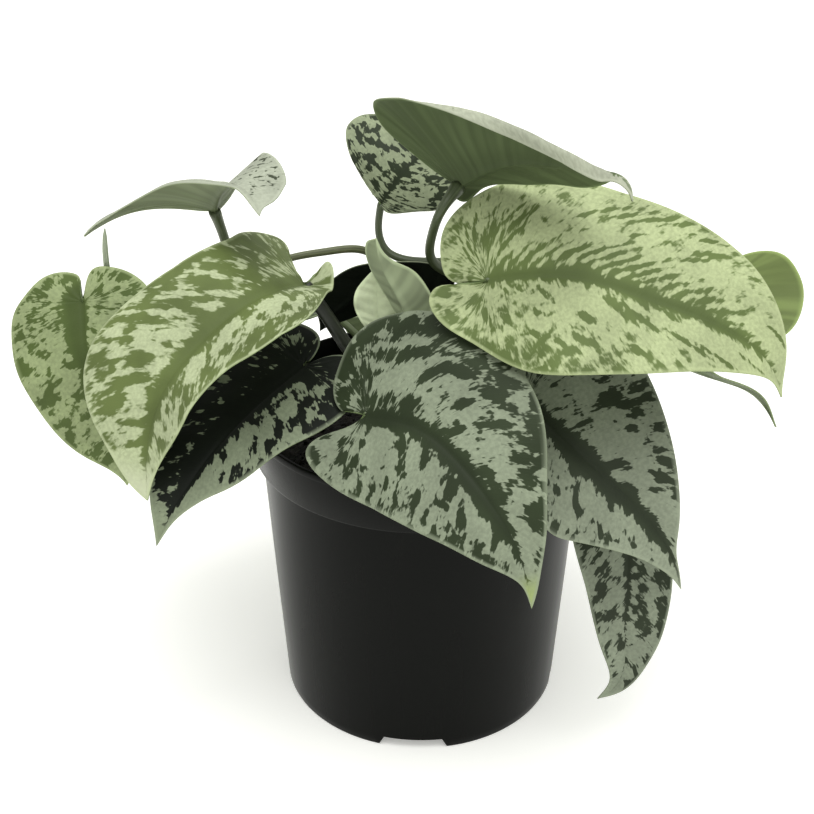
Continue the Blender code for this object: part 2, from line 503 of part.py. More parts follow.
def blade_surface(blade, lobe_steps, length_steps, rings):
    """Points and triangles of the middle surface; both halves share the midrib."""
    stations = [margin_stations(blade, side, lobe_steps, length_steps) for side in (0, 1)]
    reaches = np.linspace(0, 1, rings + 1)
    if "rim_curl" in blade.row:
        reaches = RIMMED_REACHES
        rings = len(reaches) - 1
    points = []
    index = {}
    triangles = []
    last = lobe_steps + length_steps

    def vertex(side, i, j):
        root = max(0, i - lobe_steps)
        if i == last:
            key, x, y = ("midrib", length_steps), 0.0, 1.0
        elif j == 0 or i == 0:
            key, x, y = ("midrib", root), 0.0, float(rib_root(0.06 + 0.94 * root / length_steps))
        else:
            key = (side, i, j)
            x, y = rib_point(blade, side, stations[side][i], reaches[j])
        if key not in index:
            index[key] = len(points)
            points.append(blade.place(side, float(x), np.float64(y)))
        return index[key]

    for side in (0, 1):
        for i in range(last):
            for j in range(rings):
                corners = [vertex(side, i + di, j + dj) for di, dj in ((0, 0), (1, 0), (1, 1), (0, 1))]
                for triangle in (tuple(corners[:3]), (corners[0], corners[2], corners[3])):
                    if len(set(triangle)) == 3:
                        triangles.append(triangle if side == 0 else triangle[::-1])
    return np.array(points), triangles


def surface_normals(points, triangles):
    normals = np.zeros_like(points)
    for a, b, c in triangles:
        normal = np.cross(points[b] - points[a], points[c] - points[a])
        for corner in (a, b, c):
            normals[corner] += normal
    return unit(normals)


def thick_sheet(points, triangles):
    """Closed solid from a surface: both faces alike and a strip along the margin."""
    normals = surface_normals(points, triangles)
    count = len(points)
    both = np.concatenate([points + normals * BLADE_THICKNESS / 2, points - normals * BLADE_THICKNESS / 2])
    faces = [tuple(t) for t in triangles] + [tuple(k + count for k in reversed(t)) for t in triangles]
    edges = {(t[k], t[(k + 1) % 3]) for t in triangles for k in range(3)}
    for a, b in sorted(edges):
        if (b, a) not in edges:
            faces.append((b, a, a + count))
            faces.append((b, a + count, b + count))
    return both, faces


def tube(path, radii, sides, end_direction=None):
    """Closed round bar along a path, its ends capped by fans, the last one square to a direction."""
    path = np.asarray(path, float)
    tangents = unit(np.gradient(path, axis=0))
    if end_direction is not None:
        tangents[-1] = end_direction
    seed = np.array([0.0, 0.0, 1.0]) if abs(tangents[0][2]) < 0.9 else np.array([1.0, 0.0, 0.0])
    across = unit(np.cross(tangents[0], seed))
    points = []
    for centre, tangent, radius in zip(path, tangents, radii):
        across = unit(across - (across @ tangent) * tangent)
        second = np.cross(tangent, across)
        for k in range(sides):
            turn = 2 * math.pi * k / sides
            points.append(centre + radius * (math.cos(turn) * across + math.sin(turn) * second))
    faces = []
    for i in range(len(path) - 1):
        for k in range(sides):
            a, b = i * sides + k, i * sides + (k + 1) % sides
            faces.append((a, b, b + sides))
            faces.append((a, b + sides, a + sides))
    start, end = len(points), len(points) + 1
    points += [path[0], path[-1]]
    top = (len(path) - 1) * sides
    for k in range(sides):
        faces.append((start, (k + 1) % sides, k))
        faces.append((end, top + k, top + (k + 1) % sides))
    return np.array(points), faces


def revolved(profile, segments):
    """Closed solid turned about Z from a profile whose first and last points lie on the axis."""
    points = [(0, 0, profile[0][1])]
    for radius, height in profile[1:-1]:
        for k in range(segments):
            turn = 2 * math.pi * (k + 0.5) / segments
            points.append((radius * math.cos(turn), radius * math.sin(turn), height))
    points.append((0, 0, profile[-1][1]))
    faces = []
    rings = len(profile) - 2
    for k in range(segments):
        n = (k + 1) % segments
        faces.append((0, 1 + n, 1 + k))
        for ring in range(rings - 1):
            a, b = 1 + ring * segments + k, 1 + ring * segments + n
            faces.append((a, b, b + segments, a + segments))
        top = 1 + (rings - 1) * segments
        faces.append((len(points) - 1, top + k, top + n))
    return np.array(points, float), faces


def solid_object(name, points, faces):
    """Object in metres from points in millimetres, its faces wound to point outward."""
    mesh = bpy.data.meshes.new(name)
    mesh.from_pydata([tuple(p * MM) for p in np.asarray(points, float)], [], faces)
    work = bmesh.new()
    work.from_mesh(mesh)
    bmesh.ops.triangulate(work, faces=work.faces)
    bmesh.ops.recalc_face_normals(work, faces=work.faces)
    work.to_mesh(mesh)
    work.free()
    piece = bpy.data.objects.new(name, mesh)
    bpy.context.scene.collection.objects.link(piece)
    return piece


def combine(piece, others, operation):
    """Join the others to a piece or cut them out of it, leaving one triangulated solid."""
    for other in others:
        step = piece.modifiers.new("step", "BOOLEAN")
        step.operation = operation
        step.solver = "EXACT"
        step.object = other
        bpy.context.view_layer.update()
        result = bpy.data.meshes.new_from_object(piece.evaluated_get(bpy.context.evaluated_depsgraph_get()))
        piece.modifiers.clear()
        piece.data = result
        bpy.data.objects.remove(other, do_unlink=True)
    work = bmesh.new()
    work.from_mesh(piece.data)
    bmesh.ops.triangulate(work, faces=work.faces)
    bmesh.ops.remove_doubles(work, verts=work.verts, dist=1e-6)
    bmesh.ops.dissolve_degenerate(work, edges=work.edges, dist=1e-6)
    bmesh.ops.triangulate(work, faces=work.faces)
    work.to_mesh(piece.data)
    work.free()
    return piece


def give_material(piece, colour, roughness):
    material = bpy.data.materials.new(piece.name + "_material")
    material.use_nodes = True
    shader = material.node_tree.nodes["Principled BSDF"]
    shader.inputs["Base Color"].default_value = (*colour, 1)
    shader.inputs["Roughness"].default_value = roughness
    piece.data.materials.clear()
    piece.data.materials.append(material)


def vine_line(name):
    return smooth_path(VINES[name]["path"], 201)


def stalk_path(row, blade):
    """Stalk from just under the blade's base to a knee, and the foot square to its vine."""
    line = vine_line(row["vine"])
    nearest = int(np.argmin(((line - np.array(row["joins_at"])) ** 2).sum(1)))
    tangent = unit(np.gradient(line, axis=0))[nearest]
    radius = along(VINES[row["vine"]]["radius"], nearest / 200)
    away = np.array(row["stalk"][-1], float) - line[nearest]
    away = unit(away - (away @ tangent) * tangent)
    start = blade.line[0] - blade.face[0] * BLADE_THICKNESS * 0.45
    knee = line[nearest] + away * (radius + FOOT_GAP + 3)
    foot = line[nearest] + away * (radius + FOOT_GAP)
    return [tuple(start)] + row["stalk"] + [tuple(knee)], foot


def stalk_solid(row, blade):
    """The stalk: a round bar that thickens toward its foot."""
    points, foot = stalk_path(row, blade)
    length = np.linalg.norm(np.diff(np.array(points), axis=0), axis=1).sum()
    rings = int(np.clip(round(length / 6.5), 5, 9))
    radius = row["stalk_radius"]
    radii = np.append(np.linspace(radius * 0.72, radius, rings), radius * FOOT_FLARE)
    path = np.concatenate([smooth_path(points, rings), [foot]])
    return tube(path, radii, STALK_SIDES, unit(foot - path[-2]))


def build_leaf(name, row):
    blade = Blade(row)
    small = blade.length < SMALL_LEAF
    points, triangles = blade_surface(blade, 4, 7 if small else 9, 3 if small else 4)
    leaf = solid_object(name, *thick_sheet(points, triangles))
    combine(leaf, [solid_object(name + "_stalk", *stalk_solid(row, blade))], "UNION")
    give_material(leaf, (0.16, 0.24, 0.11), 0.45)


def build_vine(name, row):
    """Vine, slightly thicker where leaves join; the left one ends in a thin rolled leaf."""
    line = vine_line(name)
    length = np.linalg.norm(np.diff(line, axis=0), axis=1).sum()
    rings = int(round(length / 6)) + 2
    radii = np.linspace(*row["radius"], rings)
    path = smooth_path(row["path"], rings)
    if row.get("rolled_tip"):
        tip = smooth_path(row["rolled_tip"], 6)
        path = np.concatenate([path, tip[1:]])
        radii = np.concatenate([radii, [1.0, 1.0, 0.9, 0.7, 0.4]])
    vine = solid_object(name, *tube(path, radii, VINE_SIDES))
    give_material(vine, (0.13, 0.15, 0.06), 0.5)


def pot_profile():
    """Cross-section of the pot from the middle of its underside round to the middle of its floor."""
    base, wall = POT_BASE_RADIUS, POT_WALL
    band_bottom = POT_HEIGHT - RIM_BAND_HEIGHT
    lip_bottom = POT_HEIGHT - LIP_HEIGHT
    floor = CHANNEL_HEIGHT + FLOOR_THICKNESS
    lip = POT_RIM_RADIUS
    band_top = lip - LIP_STEP
    return [(0, 0), (PAD_RADIUS, 0), (PAD_RADIUS + 3, CHANNEL_HEIGHT), (CHANNEL_OUTER_RADIUS, CHANNEL_HEIGHT),
            (FOOT_INNER_RADIUS, 0), (base - 0.5, 0), (base, 0.5),
            (WALL_TOP_RADIUS, band_bottom + 1.2), (RIM_BAND_BOTTOM_RADIUS, band_bottom),
            (band_top, lip_bottom), (lip, lip_bottom + 0.3), (lip, POT_HEIGHT - 0.4), (lip - 0.5, POT_HEIGHT),
            (lip - 1.6, POT_HEIGHT), (RIM_BAND_BOTTOM_RADIUS - wall, band_bottom + 2.6),
            (WALL_TOP_RADIUS - wall, band_bottom + 0.4), (base + 0.3 - wall, floor),
            (PAD_RADIUS + 2.2, floor), (PAD_RADIUS - 0.8, FLOOR_THICKNESS), (0, FLOOR_THICKNESS)]


def drain_cutters():
    cutters = []
    for k in range(DRAIN_COUNT):
        turn = 2 * math.pi * k / DRAIN_COUNT
        centre = np.array([DRAIN_CIRCLE * math.cos(turn), DRAIN_CIRCLE * math.sin(turn), 0])
        path = [centre + (0, 0, CHANNEL_HEIGHT - 2), centre + (0, 0, CHANNEL_HEIGHT + FLOOR_THICKNESS + 2)]
        cutters.append(solid_object("cutter", *tube(path, [DRAIN_RADIUS] * 2, 10)))
    return cutters


def notch_cutters():
    """Blocks with slanted sides through the foot ring."""
    cutters = []
    for k in range(NOTCH_COUNT):
        turn = math.radians(NOTCH_ANGLE + 360 * k / NOTCH_COUNT)
        out = np.array([math.cos(turn), math.sin(turn), 0])
        side = np.array([-math.sin(turn), math.cos(turn), 0])
        points = []
        for reach in (CHANNEL_OUTER_RADIUS - 4, POT_BASE_RADIUS + 4):
            for width, height in ((1.15, -1), (-1.15, -1), (-0.93, NOTCH_HEIGHT), (0.93, NOTCH_HEIGHT)):
                points.append(out * reach + side * width * NOTCH_WIDTH / 2 + np.array([0, 0, height]))
        faces = [(0, 1, 2, 3), (7, 6, 5, 4), (0, 4, 5, 1), (1, 5, 6, 2), (2, 6, 7, 3), (3, 7, 4, 0)]
        cutters.append(solid_object("cutter", points, faces))
    return cutters


def build_pot():
    pot = solid_object("pot", *revolved(pot_profile(), POT_SEGMENTS))
    combine(pot, drain_cutters() + notch_cutters(), "DIFFERENCE")
    give_material(pot, (0.012, 0.013, 0.012), 0.35)


def build_soil():
    """Soil that fills the pot, uneven on top, with a plain hole for each vine."""
    floor = CHANNEL_HEIGHT + FLOOR_THICKNESS + SOIL_GAP
    wall_top = POT_HEIGHT - RIM_BAND_HEIGHT
    lower = POT_BASE_RADIUS - POT_WALL - SOIL_GAP
    upper = WALL_TOP_RADIUS - POT_WALL - SOIL_GAP - 0.1
    edge = SOIL_TOP - 0.9
    profile = [(0, floor), (lower, floor), (upper, wall_top - 0.3), (upper, wall_top + 1),
               (SOIL_LEDGE_RADIUS, wall_top + 3.2), (SOIL_LEDGE_RADIUS - 1.2, edge + 1.6),
               (44, SOIL_TOP + 0.6),
               (30, SOIL_TOP), (14, SOIL_TOP), (0, SOIL_TOP)]
    points, faces = revolved(profile, SOIL_SEGMENTS)
    for point in points:
        if point[2] >= SOIL_TOP - 0.1:
            point[2] += SOIL_HEAP * 0.5 * (math.sin(point[0] * 0.21) * math.cos(point[1] * 0.17) + 0.4)
    soil = solid_object("potting_soil", points, faces)
    holes = []
    for row in VINES.values():
        foot = np.array(row["path"][0], float)
        radius = row["radius"][0] + HOLE_GAP
        path = [foot - (0, 0, HOLE_GAP), foot + (0, 0, HOLE_DEPTH + 6)]
        holes.append(solid_object("cutter", *tube(path, [radius] * 2, 12)))
    combine(soil, holes, "DIFFERENCE")
    give_material(soil, (0.03, 0.022, 0.015), 0.9)


def main():
    for old in list(bpy.data.objects):
        bpy.data.objects.remove(old, do_unlink=True)
    build_pot()
    build_soil()
    for name, row in VINES.items():
        build_vine(name, row)
    for name, row in LEAVES.items():
        build_leaf(name, row)


main()
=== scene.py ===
"""Satin pothos in a round nursery pot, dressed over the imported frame.

Leaves and vines keep the form of the CAD source: the same rows, a finer mesh, and variegation that
follows the side veins. Millimetres and degrees; X runs right, Y back, Z up from the pot's base.
"""
import math
import bpy
import bmesh
import numpy as np
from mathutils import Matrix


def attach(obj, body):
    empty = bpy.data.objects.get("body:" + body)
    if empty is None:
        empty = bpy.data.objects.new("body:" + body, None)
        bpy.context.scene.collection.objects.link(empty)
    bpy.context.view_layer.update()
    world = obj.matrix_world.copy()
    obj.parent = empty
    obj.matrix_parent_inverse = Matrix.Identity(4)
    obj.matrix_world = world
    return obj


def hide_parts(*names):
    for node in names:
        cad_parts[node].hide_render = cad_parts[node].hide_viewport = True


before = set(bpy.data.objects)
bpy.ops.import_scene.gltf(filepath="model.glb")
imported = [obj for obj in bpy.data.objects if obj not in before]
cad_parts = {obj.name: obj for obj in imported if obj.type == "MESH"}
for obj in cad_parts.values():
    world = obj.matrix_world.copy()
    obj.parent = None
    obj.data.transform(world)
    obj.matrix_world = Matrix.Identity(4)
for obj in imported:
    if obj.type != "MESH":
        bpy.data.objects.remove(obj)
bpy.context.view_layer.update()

MM = 0.001

# Camera
CAMERA_TARGET = (-5.1, 0.0, 110.2)
CAMERA_DISTANCE = 501.6
CAMERA_ELEVATION = 28.94
CAMERA_LENS = 64.0

# Light, in metres and watts, and the floor
LIGHT_PLACE = (0.1, -0.2, 1.3)
LIGHT_AIM = (0, 0, 0.1)
LIGHT_SIZE = 1.3
LIGHT_POWER = 16.0
FLOOR_HALF = 40000.0
FLOOR_GLOW = 0.33

# Pot
POT_HEIGHT = 113.0
POT_RIM_RADIUS = 60.0
POT_BASE_RADIUS = 50.0
POT_WALL = 1.3
RIM_BAND_HEIGHT = 16.3
RIM_BAND_BOTTOM_RADIUS = 58.5
WALL_TOP_RADIUS = 55.8
LIP_HEIGHT = 2.6
LIP_STEP = 0.5
FLOOR_THICKNESS = 1.6
PAD_RADIUS = 15.0
CHANNEL_HEIGHT = 4.6
CHANNEL_OUTER_RADIUS = 46.0
FOOT_INNER_RADIUS = 47.2
NOTCH_COUNT = 4
NOTCH_WIDTH = 22.0
NOTCH_HEIGHT = 4.0
NOTCH_ANGLE = -93.5
DRAIN_COUNT = 6
DRAIN_RADIUS = 3.5
DRAIN_CIRCLE = 33.0
POT_SEGMENTS = 160

# Soil
SOIL_TOP = 100.0
SOIL_EDGE_RADIUS = 56.5
SOIL_NECK_RADIUS = 54.0
SOIL_FOOT_RADIUS = 48.2
SOIL_RINGS = 40
SOIL_SEGMENTS = 160
SOIL_CRUMBS = 420
CRUMB_REACH = 54.0
CRUMB_CLEARANCE = 5.0

# Leaves
BLADE_THICKNESS = 0.75
EDGE_THICKNESS = 0.5
EDGE_ROUNDING = 0.12
GROOVE_DEPTH = 0.3
GROOVE_WIDTH = 0.8
RIB_HEIGHT = 0.75
RIB_WIDTH = 1.1
SIDE_VEINS = 9
SIDE_VEINS_FROM = 0.06
QUILTING_ABOVE = 0.22
QUILTING_BELOW = 0.18
WAVE_HEIGHT = 0.6
WAVE_COUNT = 2.5
LOBE_STEPS = 34
LENGTH_STEPS = 76
VEIN_STEPS = 30
MIDRIB_STEPS = 121
MARGIN_STEPS = 400
MARGIN_STRETCH = 1.6
HALF_SHIFT = 400
LENGTH_SHARES = SIDE_VEINS_FROM + (1 - SIDE_VEINS_FROM) * np.linspace(0, 1, LENGTH_STEPS + 1)

# Stalks and vines
STALK_SIDES = 18
STALK_START = 0.36
STALK_RING_STEP = 1.2
STALK_FLARE_LENGTH = 5.0
FOOT_GAP = 0.5
FOOT_FLARE = 1.1
VINE_SIDES = 20
VINE_STEPS = 201
NODE_SWELLING = 0.28
NODE_LENGTH = 1.6
SPIKE_RINGS = 40
CURVE_STEPS = 400

LEAVES = {}


def both(*values):
    """The same values for both halves of a leaf."""
    return values, values


def leaf(name, **own):
    """Adds a leaf's row: its own values over the usual ones."""
    usual = dict(gap=0.1, full=(0, 0), fold=both(6), curl=both(-14, -8), lift=(0, 0), curl_power=(1, 1),
                 rim_curl=(None, None), outline=(None, None), under=(0.11, 0.15, 0.06), under_veins=0.2,
                 under_dark=0, stalk_colour=(0.105, 0.14, 0.06), flare=0.1, teeth=1.1, soft=0.05, fine=1,
                 streaks=0.8, specks=0.25, mottle=1, lean=0, band_dark=0.5, margin=(5, 5), tip=None,
                 tip_amount=0.4, strokes=((), ()), clearings=((), ()))
    LEAVES[name] = {**usual, **own}


# Form: the midrib's points, the way the face looks along it, then values for each half: half width,
# lobe behind the base in leaf lengths, fold and curl along the length, lift of the lobe. A rim curl
# bends the last rim_width further. An outline is a half's margin from base to tip, in percent of half
# width and leaf length; without one the half is a plain heart, which gap and full shape. The stalk
# runs from the base to where it joins its vine.
# Looks: silver and green above, under below, and a seed; for each half the green band's half width
# along the length, how far random splashes spread along the margin, and how much more at the margin,
# in percent. The colours differ from leaf to leaf with how lit each leaf is: the lit leaves on top carry
# lighter colours, the hanging and central ones darker, so they are partly the leaves' own tones and partly
# painted light and shade. Strokes are drawn greens, a few of them also painted shadow: place along the
# margin in percent, start and end from the midrib, half width. Clearings move the spread: place along the
# margin and reach from the midrib in percent, size, amount. Lean tilts the strokes towards the tip, fine
# scales the splashes, teeth and streaks make them ragged, soft blurs their edges, specks and mottle vary
# the silver, and flare widens the stalk under the blade.
leaf(
    "leaf_large_right",
    midrib=[(20, -28, 170), (43, -34.7, 174.2), (69, -39, 168.4), (91, -42, 160.7), (105.5, -44, 150),
            (111.5, -43, 137.5)],
    face=[(-15, -68, 72), (10, -60, 76), (35, -60, 70), (70, -60, 30)],
    half_width=(35.5, 31), lobe=(0.13, 0.15), gap=0.05, full=(0.95, 0.3), fold=both(8, 6),
    curl=((-18, -10), (-4, -10)), lift=(0, 4.5), stalk=[(20.5, -18, 170), (21.5, -3, 162)], stalk_radius=1.7,
    vine="vine_right", joins_at=(18, 17, 147),
    outline=([(1, -5), (2.5, -9.5), (9, -12.7), (20, -14.2), (38, -14.8), (56, -13.8), (78, -8), (92, 2),
        (97, 14), (97, 30), (95, 46), (83, 65), (58, 78), (38, 85.5), (16, 93), (5, 97)],
        [(1, -5.5), (1, -10), (3, -13.3), (10, -15.3), (20, -15.9), (34, -14.6), (50, -10.7), (67, -3.5),
        (92, 7), (106, 18), (108, 29), (97, 40), (78, 53), (60, 66), (37, 79.5), (15, 89), (4, 95)]),
    silver=(0.385, 0.445, 0.235), green=(0.12, 0.165, 0.05), seed=3, teeth=1.6, soft=0.12, fine=0.75,
    lean=0.14, band=((3, 5, 5.5, 5, 4, 2, -1), (2, 2.5, 2, 3, 3.5, 1.5, -2)),
    spread=((40, 38, 38, 30, 30, 30, 26, 10), (42, 42, 45, 38, 32, 20, 10)), margin=(6, 12),
    strokes=([(41, 0, 9, 1.5), (43.5, 1, 11, 1.2), (46, 1, 13, 1.4), (48.5, 2, 14, 1.1), (51, 1, 17, 1.4),
        (53, 4, 19, 1.1), (55, 1, 18, 1.3), (57, 2, 17, 1.1), (59, 1, 16, 1.3), (61, 2, 15, 1.1),
        (63, 0, 13, 1.3), (65.5, 1, 13, 1.2), (68, 0, 12, 1.5), (71, 0, 10, 1.8), (75, 0, 8, 2),
        # The four strokes from 43 to 50 along the margin, 23 to 35 mm out, are painted shadow of leaf_top
        # over dark green splotches.
        (79, 0, 5, 1.6), (43, 23, 34, 1.3), (45.5, 25, 35, 1.6), (48, 26, 35, 1.8), (50, 29, 35, 1.6),
        (13, 5, 22, 0.7), (17, 7, 24, 0.8), (21, 6, 27, 0.8), (33, 5, 29, 0.9), (38, 3, 20, 1),
        (27.5, 5, 25, 0.8), (51.5, 20, 24, 1.2), (53, 28, 31, 1), (55, 29, 33, 1.3), (58.5, 22, 28, 1.8),
        (60, 17, 22, 1.2), (64, 26, 32, 2.2), (63.5, 22, 26, 1.4), (67.5, 21, 25, 1.6), (71.5, 22, 26, 1.8),
        (75.5, 17, 22, 2), (77, 10, 13, 1.4), (47, 17, 20, 0.8), (30, 8, 22, 1.4), (36, 12, 26, 1.7)],
        [(43, 1, 7, 0.9), (46.5, 1, 6, 0.9), (50, 2, 9, 1.2), (62, 2, 12, 2.4), (64.5, 4, 13, 2.2),
        (67.5, 10, 16, 1.8), (70, 11, 17, 1.4), (72, 0, 5, 2.2), (79, 7, 12, 2), (53, 12, 17, 2.4),
        (45, 12, 16, 2), (37, 12, 19, 2.2), (40, 19, 24, 1.8), (43, 24, 30, 2.2), (47.5, 20, 27, 2.6),
        (55, 20, 25, 2.2), (60, 23, 27, 1.6), (69, 19, 24, 1.6), (25, 10, 16, 2), (15, 6, 11, 1.8)]),
    clearings=([(62, 35, 6, -20), (90, 50, 12, -30)],
        [(58, 30, 8, -25), (85, 50, 12, -25), (47, 80, 9, 8)]))
leaf(
    "leaf_front",
    midrib=[(-18, -45, 132), (-2, -56, 134), (15, -74, 126), (28, -86, 108), (32, -91, 92)],
    face=[(-42, -62, 68), (-30, -72, 60), (10, -90, 40)],
    half_width=(35, 27), lobe=(0.17, 0.17), gap=0.12, full=(0.3, 0.35), fold=((4, 4), (6, 6)),
    curl=((-24, -12), (-14, -8)), lift=(0, 4), stalk=[(-16, -34, 130), (-10, -22, 120)], stalk_radius=1.6,
    vine="vine_front", joins_at=(-2, -10, 106),
    outline=([(0, -9), (12, -14.8), (42, -17), (79, -15), (99, -8), (108, 5), (107, 15), (98, 29), (84, 46),
        (70, 55), (48, 65.5), (27, 78), (15, 86.5), (5, 96)],
        [(8, -1.5), (22, -8), (40, -15.5), (60, -17), (85, -8), (100, 6), (104, 20), (100, 38), (85, 53),
        (68, 64), (41, 79), (17, 87), (4, 93)]),
    silver=(0.235, 0.272, 0.188), green=(0.03, 0.043, 0.019), seed=11, teeth=1.3, fine=0.85,
    band=((3, 4, 3, 3.5, 2.5, 0.5, -2), (4, 4, 4, 5, 4.5, 1.5, -2)),
    spread=((52, 50, 50, 44, 42, 40, 38, 10), (45, 42, 36, 40, 40, 36, 10)), margin=(14, 10),
    tip=(0.32, 0.4, 0.13), tip_amount=0.8,
    strokes=([(45, 3, 8, 1.6), (50, 3, 9, 1.5), (56, 2, 9, 2.4), (66, 2, 9, 2.2), (77, 2, 7, 2.6),
        (82, 1, 6, 2.2), (62, 11, 18, 1.6), (62, 21, 28, 3.2), (67.5, 16, 23, 2), (71.5, 19, 28, 2.4),
        (75, 16, 21, 1.6), (79, 18, 24, 1.5), (54.5, 12, 26, 1.8), (57, 21, 28, 3), (50, 21, 27, 2.8),
        (47.5, 18, 25, 2.6), (44, 18, 24, 2.6), (40, 18, 23, 2), (42, 25, 28, 1.6), (37, 6, 13, 1),
        (33.5, 11, 17, 2.2), (27, 5, 10, 1.6), (30, 14, 20, 1.6), (20, 6, 12, 1.2)],
        [(53, 3, 12, 1.6), (60, 3, 11, 1.8), (69, 3, 11, 3), (73.5, 8, 16, 1.8), (83, 3, 9, 1.6),
        (30, 12, 18, 1.8), (36, 13, 18, 2.4), (40, 8, 11, 1.2), (50, 18, 23, 2.6), (54, 14, 17, 1.2),
        (61.5, 14, 23, 1.6), (68, 20, 25, 2.2), (76, 16, 21, 1.4), (80, 12, 16, 1.2), (24, 9, 13, 1.4)]),
    clearings=([(50, 40, 6, -25), (62, 35, 4, -15), (72, 40, 4, -15), (37, 50, 7, -16), (45, 60, 5, -12)],
        [(45, 40, 6, -20), (60, 60, 5, -15), (76, 50, 5, -10)]))
leaf(
    "leaf_right",
    midrib=[(32, -28.5, 128.5), (50, -42, 116.5), (69, -52, 101), (79, -57, 88), (83, -60, 76.5)],
    face=[(10, -70, 70), (30, -85, 40), (30, -95, 10)],
    half_width=(35, 23), lobe=(0.18, 0.12), fold=((6, 6), (25, 8, 6)), curl=((-12, -8), (-4, -8)),
    stalk=[(28, -10, 126), (24, 2, 121)], stalk_radius=1.6, vine="vine_right", joins_at=(20, 14, 116),
    outline=([(8, -8), (35, -17), (70, -18), (100, -8), (110, 10), (104, 25), (83, 43), (62, 56), (36, 69.5),
        (18, 78), (5, 86), (2, 94)],
        [(8, -5), (30, -9), (55, -5), (78, 8), (100, 22), (114, 35), (114, 43), (103, 50), (83, 59),
        (45, 77), (20, 89), (8, 94.5)]),
    silver=(0.25, 0.285, 0.205), green=(0.037, 0.049, 0.027), seed=23, fine=0.8, streaks=1.1,
    band=((4, 4, 4.5, 2, 4, 3, 0.5), (4, 5, 6, 6, 4.5, 2, 0)),
    spread=((42, 38, 36, 34, 30, 24), (34, 34, 34, 32, 26, 18)), margin=(13, 10),
    strokes=([(59, 3, 14, 1), (56, 17, 26, 3), (58.5, 20, 28, 2.2), (65, 17, 21, 1.6), (72, 2, 10, 2),
        (73.5, 17, 23, 2.4), (76, 12, 15, 1.4), (80, 15, 19, 1.5), (82.5, 18, 23, 1.4), (79, 1, 5, 2.4)],
        [(58.5, 7, 18, 1.1), (60, 14, 19, 2), (53, 15, 19, 1.8), (56, 3, 9, 2.2), (70, 3, 8, 1.6),
        (68, 15, 20, 1.2)]),
    clearings=([(66, 35, 7, -25), (85, 40, 7, -20)],
        [(72, 50, 6, -15)]))
leaf(
    "leaf_hanging",
    midrib=[(66, -23.5, 99), (69, -36.5, 79), (69, -46, 47), (67, -48.5, 27.5), (61, -48.5, 21.5)],
    face=[(35, -80, 50), (15, -95, 25), (0, -99, 10)],
    half_width=(16, 15), lobe=(0.1, 0.1), full=(0.5, 0.3), fold=both(10), curl=both(-20, -10),
    stalk=[(68, -8, 110), (58, 4, 121), (40, 11, 118)], stalk_radius=1.5, vine="vine_right",
    joins_at=(20, 14, 108),
    outline=([(10, -8), (50, -10), (90, 2), (100, 20), (98, 40), (91, 57), (82, 66), (53, 77.5), (25, 88),
        (8, 96)],
        [(10, -8), (50, -10), (100, -2), (130, 12), (130, 26), (105, 42), (83, 54), (55, 72), (26, 87),
        (10, 95)]),
    silver=(0.22, 0.252, 0.182), green=(0.028, 0.038, 0.02), seed=31, band=both(4, 4, 2, 1, 0, -2),
    spread=((50, 45, 42, 40), (45, 42, 42, 40)), margin=(10, 10))
leaf(
    "leaf_left",
    midrib=[(-39, -4, 158), (-45, -14, 161), (-57, -27, 160), (-70, -38, 152), (-79, -46, 143),
            (-85, -54, 126), (-86, -58, 109)],
    face=[(-10, -30, 95), (-20, -50, 80), (-45, -65, 60), (-50, -85, 20)],
    half_width=(26, 36), lobe=(0.09, 0.11), gap=0.06, fold=((4, 22, 19, 15), (24, 5, 6, 6)),
    curl=((8, 8), (-12, -8)), lift=(8.5, 0), stalk=[(-33, -6, 150), (-23, -8, 134)], stalk_radius=2.7,
    vine="vine_front", joins_at=(-6, -9, 120),
    outline=([(1, -3), (1.5, -6.2), (5, -8.2), (12, -8.6), (20, -7.7), (28, -5.7), (36, -2.8), (48, 4.5),
        (65, 11.8), (80, 16.5), (100, 23), (112, 31), (106, 41), (88, 49), (77, 60), (66, 71), (44, 80.5),
        (19, 89.5), (6, 96)],
        [(10, -3), (30, -6), (45, -12.5), (62, -18.5), (76, -19), (84, -11), (82, 5), (79, 20), (84, 38),
        (93, 55), (94, 64), (84, 71), (64, 79), (40, 87), (15, 96.5)]),
    silver=(0.41, 0.465, 0.275), green=(0.125, 0.165, 0.05), seed=41, teeth=1.3, soft=0.1, streaks=1.5,
    band_dark=0.25, band=((3, 3, 3.5, 4, 3, -1), (6, 6, 6, 5, 3.5, -1)),
    spread=((52, 50, 50, 50, 44, 42, 10), (62, 62, 62, 60, 52, 46, 42, 10)), margin=(14, 4),
    # The near-black stalk colour is partly painted shade in the middle of the plant.
    tip=(0.56, 0.6, 0.42), tip_amount=0.7, stalk_colour=(0.015, 0.019, 0.01), flare=0.4,
    strokes=([(66, 3, 9, 1.2), (60, 9, 14, 1.6), (53, 9, 14, 1.6), (46, 8, 14, 1.5), (78, 5, 10, 1.4),
        (73, 8, 13, 1.6)],
        [(70, 8, 20, 2.6), (73.5, 6, 24, 1.6), (77.5, 12, 22, 2.8), (82, 4, 14, 1.4), (64, 12, 26, 1.6),
        (60, 10, 30, 1.6), (55, 6, 30, 2.4), (50, 8, 30, 2), (44, 12, 32, 2.6), (36, 14, 30, 2.4),
        (28, 10, 26, 2), (87, 3, 10, 1)]),
    clearings=([(50, 35, 6, -30), (62, 35, 6, -25), (80, 40, 6, -20)],
        [(67, 40, 4, -30), (75.5, 40, 3, -30), (90, 50, 8, -30)]))
